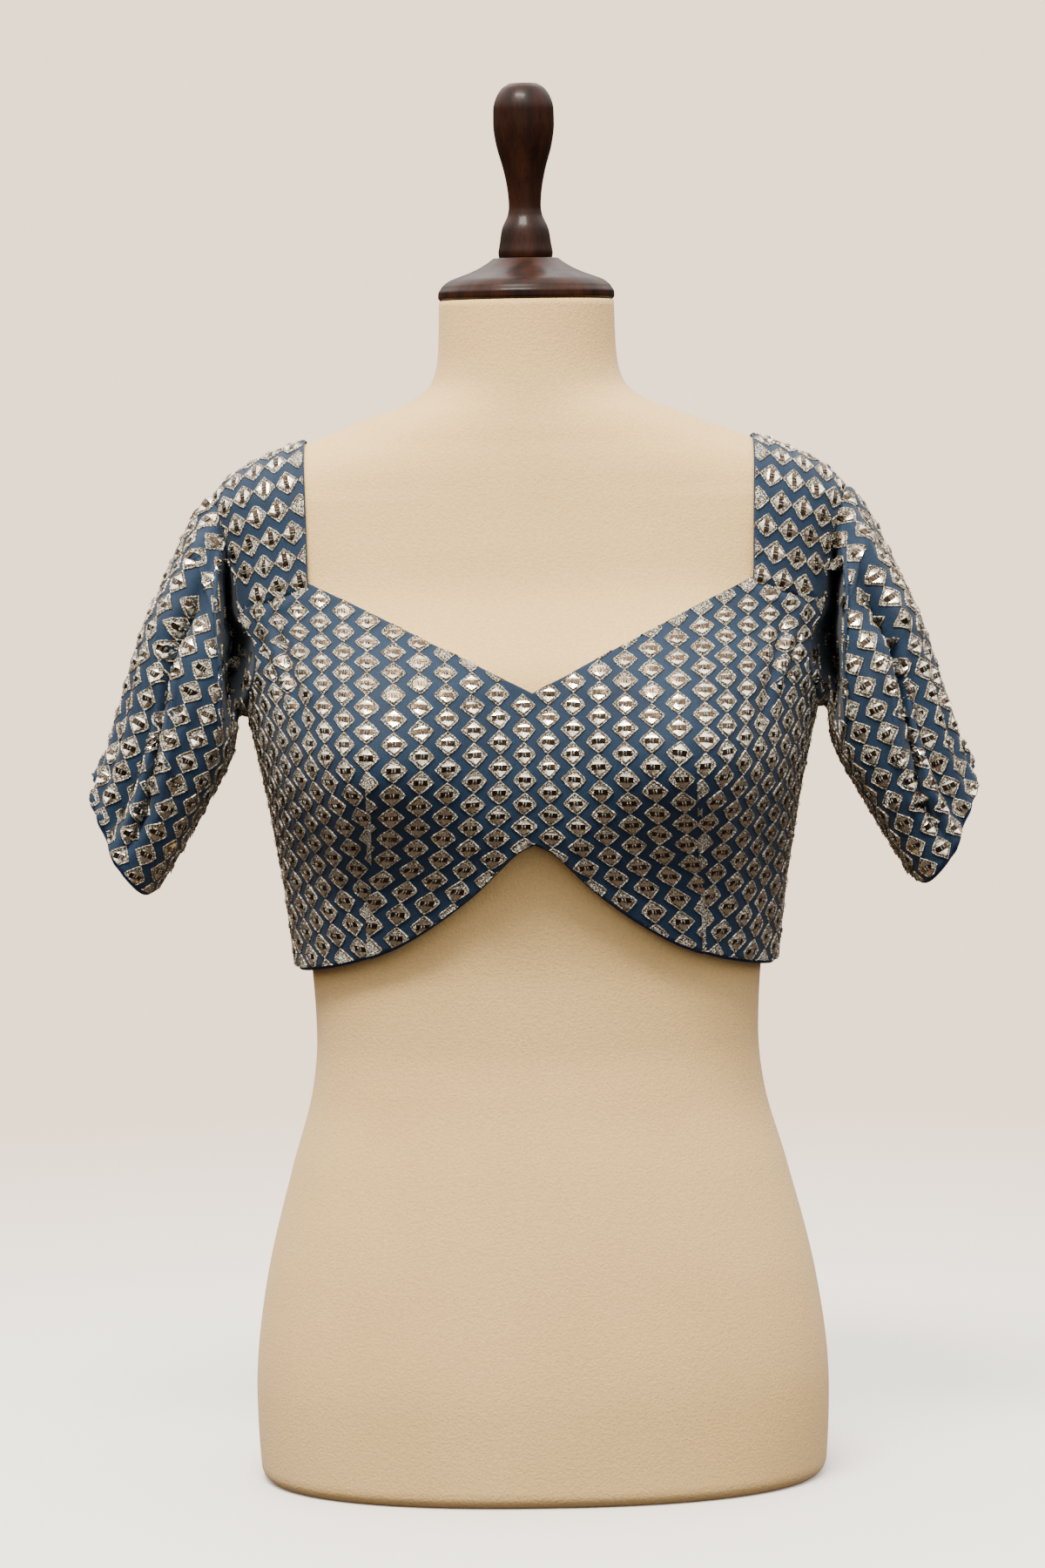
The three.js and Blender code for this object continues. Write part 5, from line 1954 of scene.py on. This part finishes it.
            facing = Sheet(cuff, cuff_normals, arc(cuff, 0), arc(cuff, 1), FACING, True)
            self.finish(f"cuff_facing_{name}", mirrored(facing, sign), (), "stretched", Slot.PLAIN)

    def opened(self, ring: Array) -> Array:
        """A round grid cut open along its inner line, with that line on both its sides."""
        ring = np.roll(ring, len(ring) // 2, axis=0)
        return np.concatenate([ring, ring[:1]])

    def panel(self, name: str, sheet: Sheet, sign: int, start: Pair, seed: int) -> None:
        """A whole panel with one run of the repeat, on one side or the other.

        Args:
            name: the solid that it stands for.
            sheet: the cloth on the side of +X.
            sign: 1 for that side, -1 for the other.
            start: where one diamond lies.
            seed: where its chance differences start.
        """
        sheet = mirrored(sheet, sign)
        stitcher = Stitcher(sheet, seed, self.unrest)
        chart = Chart(sheet.across, sheet.down, 0, sheet.points.shape[0] - 1)
        placed = stitcher.place(chart, (start[0] * sign, start[1]), self.spare)
        self.finish(name, sheet, stitcher.sew(name, [placed]), "draped")

    def finish(
        self, name: str, sheet: Sheet, sewn: tuple[Piece, ...], held: str, slot: Slot = Slot.CREPE,
    ) -> None:
        """Makes a sheet's cloth, dresses what is sewn on it and says how it was cut.

        Args:
            name: the solid that it stands for.
            sheet: the cloth.
            sewn: its stitching and its mirrors, or nothing.
            held: not used.
            slot: the slot of its finish.
        """
        crepe = self.finishes.crepe if slot is Slot.CREPE else self.finishes.facing
        cloth = settle(sheet.mesh(f"{name}_cloth"), slot, [crepe], name)
        if sewn:
            settle(sewn[0], slot, [self.finishes.filling, self.finishes.outline, self.finishes.bar])
            # the mirrors' second finish paints in the band's dark reflection
            settle(sewn[1], slot, [self.finishes.foil, self.finishes.band])
        width, length, area = sheet.flat_size()
        log.info("%s: cut %.3f x %.3f m, %.4f m2", name, width, length, area)

    def dress(self) -> None:
        """Makes every piece of the blouse."""
        self.front()
        self.backs()
        self.straps()
        self.sleeves()


def mirrored(sheet: Sheet, sign: int) -> Sheet:
    """The sheet itself for a sign of 1, or its mirror image with its columns in the other order."""
    if sign > 0:
        return sheet
    flip = np.array([-1, 1, 1])
    return Sheet(sheet.points[::-1] * flip, sheet.normals[::-1] * flip, -sheet.across[::-1],
                 sheet.down[::-1], sheet.thickness, sheet.is_round)


# ---- Studio ----


@dataclass
class Studio:
    """A plain pale floor that fades into a pale room, soft lights and the camera."""

    eye: Place = (0.0, -2.675, 0.610)
    target: Place = (-0.0065, 0.0, 0.40)
    roll: float = -0.9
    lens: float = 107.0
    chest: Place = (0, 0, 0.45)
    floor_reach: float = 1500.0
    floor_z: float = -0.5
    sky_strength: float = 3.9
    wall_strength: float = 2.48

    def camera(self) -> None:
        """A long lens at chest height, looking slightly down."""
        data = bpy.data.cameras.new("camera")
        data.lens, data.sensor_width = self.lens, 36.0
        bpy.context.scene.camera = self.aimed(data, self.eye, self.target, self.roll)

    def aimed(self, data: bpy.types.ID, place: Place, target: Place, roll: float = 0.0) -> Piece:
        """Puts a camera or a light in the scene, looking at a target.

        Args:
            data: the camera or light.
            place: where it stands.
            target: what it looks at.
            roll: its turn about its line of sight, in degrees.

        Returns:
            The new object.
        """
        thing = bpy.data.objects.new(data.name, data)
        look = Vector(target) - Vector(place)
        thing.location = place
        thing.rotation_mode = "QUATERNION"
        thing.rotation_quaternion = look.to_track_quat("-Z", "Y") @ Quaternion((0, 0, 1), math.radians(roll))
        bpy.context.scene.collection.objects.link(thing)
        return thing

    def floor(self) -> None:
        """A pale disc that fades out towards its rim, standing for the floor."""
        turn = np.linspace(0, 2 * np.pi, 96, endpoint=False)[:, None]
        radius = np.linspace(1, self.floor_reach, 12)[None, :]
        x, y = radius * np.cos(turn), radius * np.sin(turn)
        points = packed(x, y, self.floor_z)
        numbers = np.arange(x.size).reshape(x.shape)
        disc = make_piece("floor", points.reshape(-1, 3), [quads(numbers, True)[:, ::-1]])
        material, board, shader = new_material("pale_floor")
        where = board.add("ShaderNodeTexCoord").outputs["Object"]
        far = board.add("ShaderNodeVectorMath", {0: where}, operation="LENGTH").outputs["Value"]
        board.set(shader, {
            "Base Color": tint((226, 220, 212)),
            "Roughness": 0.7,
            "Alpha": board.range(far, 0.35, 1.45, 1.0, 0.0),
        })
        disc.data.materials.append(material)
        disc.visible_diffuse = disc.visible_glossy = False

    def room(self) -> None:
        """Pale walls for the eye; for all other light a bright ceiling over dark sides."""
        world = bpy.data.worlds.new("room")
        bpy.context.scene.world = world
        world.use_nodes = True
        board = Board(world.node_tree)
        board.tree.nodes.clear()
        where = board.add("ShaderNodeTexCoord").outputs["Generated"]
        up = board.add("ShaderNodeSeparateXYZ", {0: where}).outputs["Z"]
        high = board.range(up, 0.15, 0.6)
        sky = board.blend(high, (0.042, 0.031, 0.024, 1), (1.0, 0.97, 0.94, 1))
        light = board.add("ShaderNodeBackground", {"Color": sky, "Strength": self.sky_strength})
        pale = {"Color": (1.0, 0.785, 0.575, 1), "Strength": self.wall_strength}
        wall = board.add("ShaderNodeBackground", pale)
        seen = board.add("ShaderNodeLightPath").outputs["Is Camera Ray"]
        mixed = board.add("ShaderNodeMixShader", {0: seen, 1: light.outputs[0], 2: wall.outputs[0]})
        board.add("ShaderNodeOutputWorld", {"Surface": mixed.outputs[0]})

    def light(
        self, name: str, place: Place, size: Pair, power: float, tone: Place,
        shines: bool = True,
    ) -> None:
        """A soft light that looks at the chest.

        Args:
            name: the light's name.
            place: where it hangs.
            size: its width and height.
            power: its power in watts.
            tone: its colour.
            shines: whether it is seen in shiny things.
        """
        data = bpy.data.lights.new(name, "AREA")
        data.shape, data.energy = "RECTANGLE", power
        data.size, data.size_y = size
        data.color = tone
        self.aimed(data, place, self.chest).visible_glossy = shines

    def dress(self) -> None:
        """Sets up the camera, the floor, the room and the lights."""
        self.camera()
        self.floor()
        self.room()
        self.light("key", (-0.42, -1.3, 2.65), (1.3, 0.5), 172, (1.0, 0.965, 0.87))
        self.light("fill", (0.7, -2.6, 0.8), (1.2, 1.2), 15, (0.62, 0.83, 1.0), False)


def main() -> None:
    """Builds the studio, the form and the blouse."""
    logging.basicConfig(level=logging.INFO, format="%(name)s %(message)s")
    Studio().dress()
    finishes = Finishes()
    DressForm(finishes).dress()
    Blouse(finishes).dress()
    bpy.context.view_layer.update()


if __name__ == "__main__":
    main()
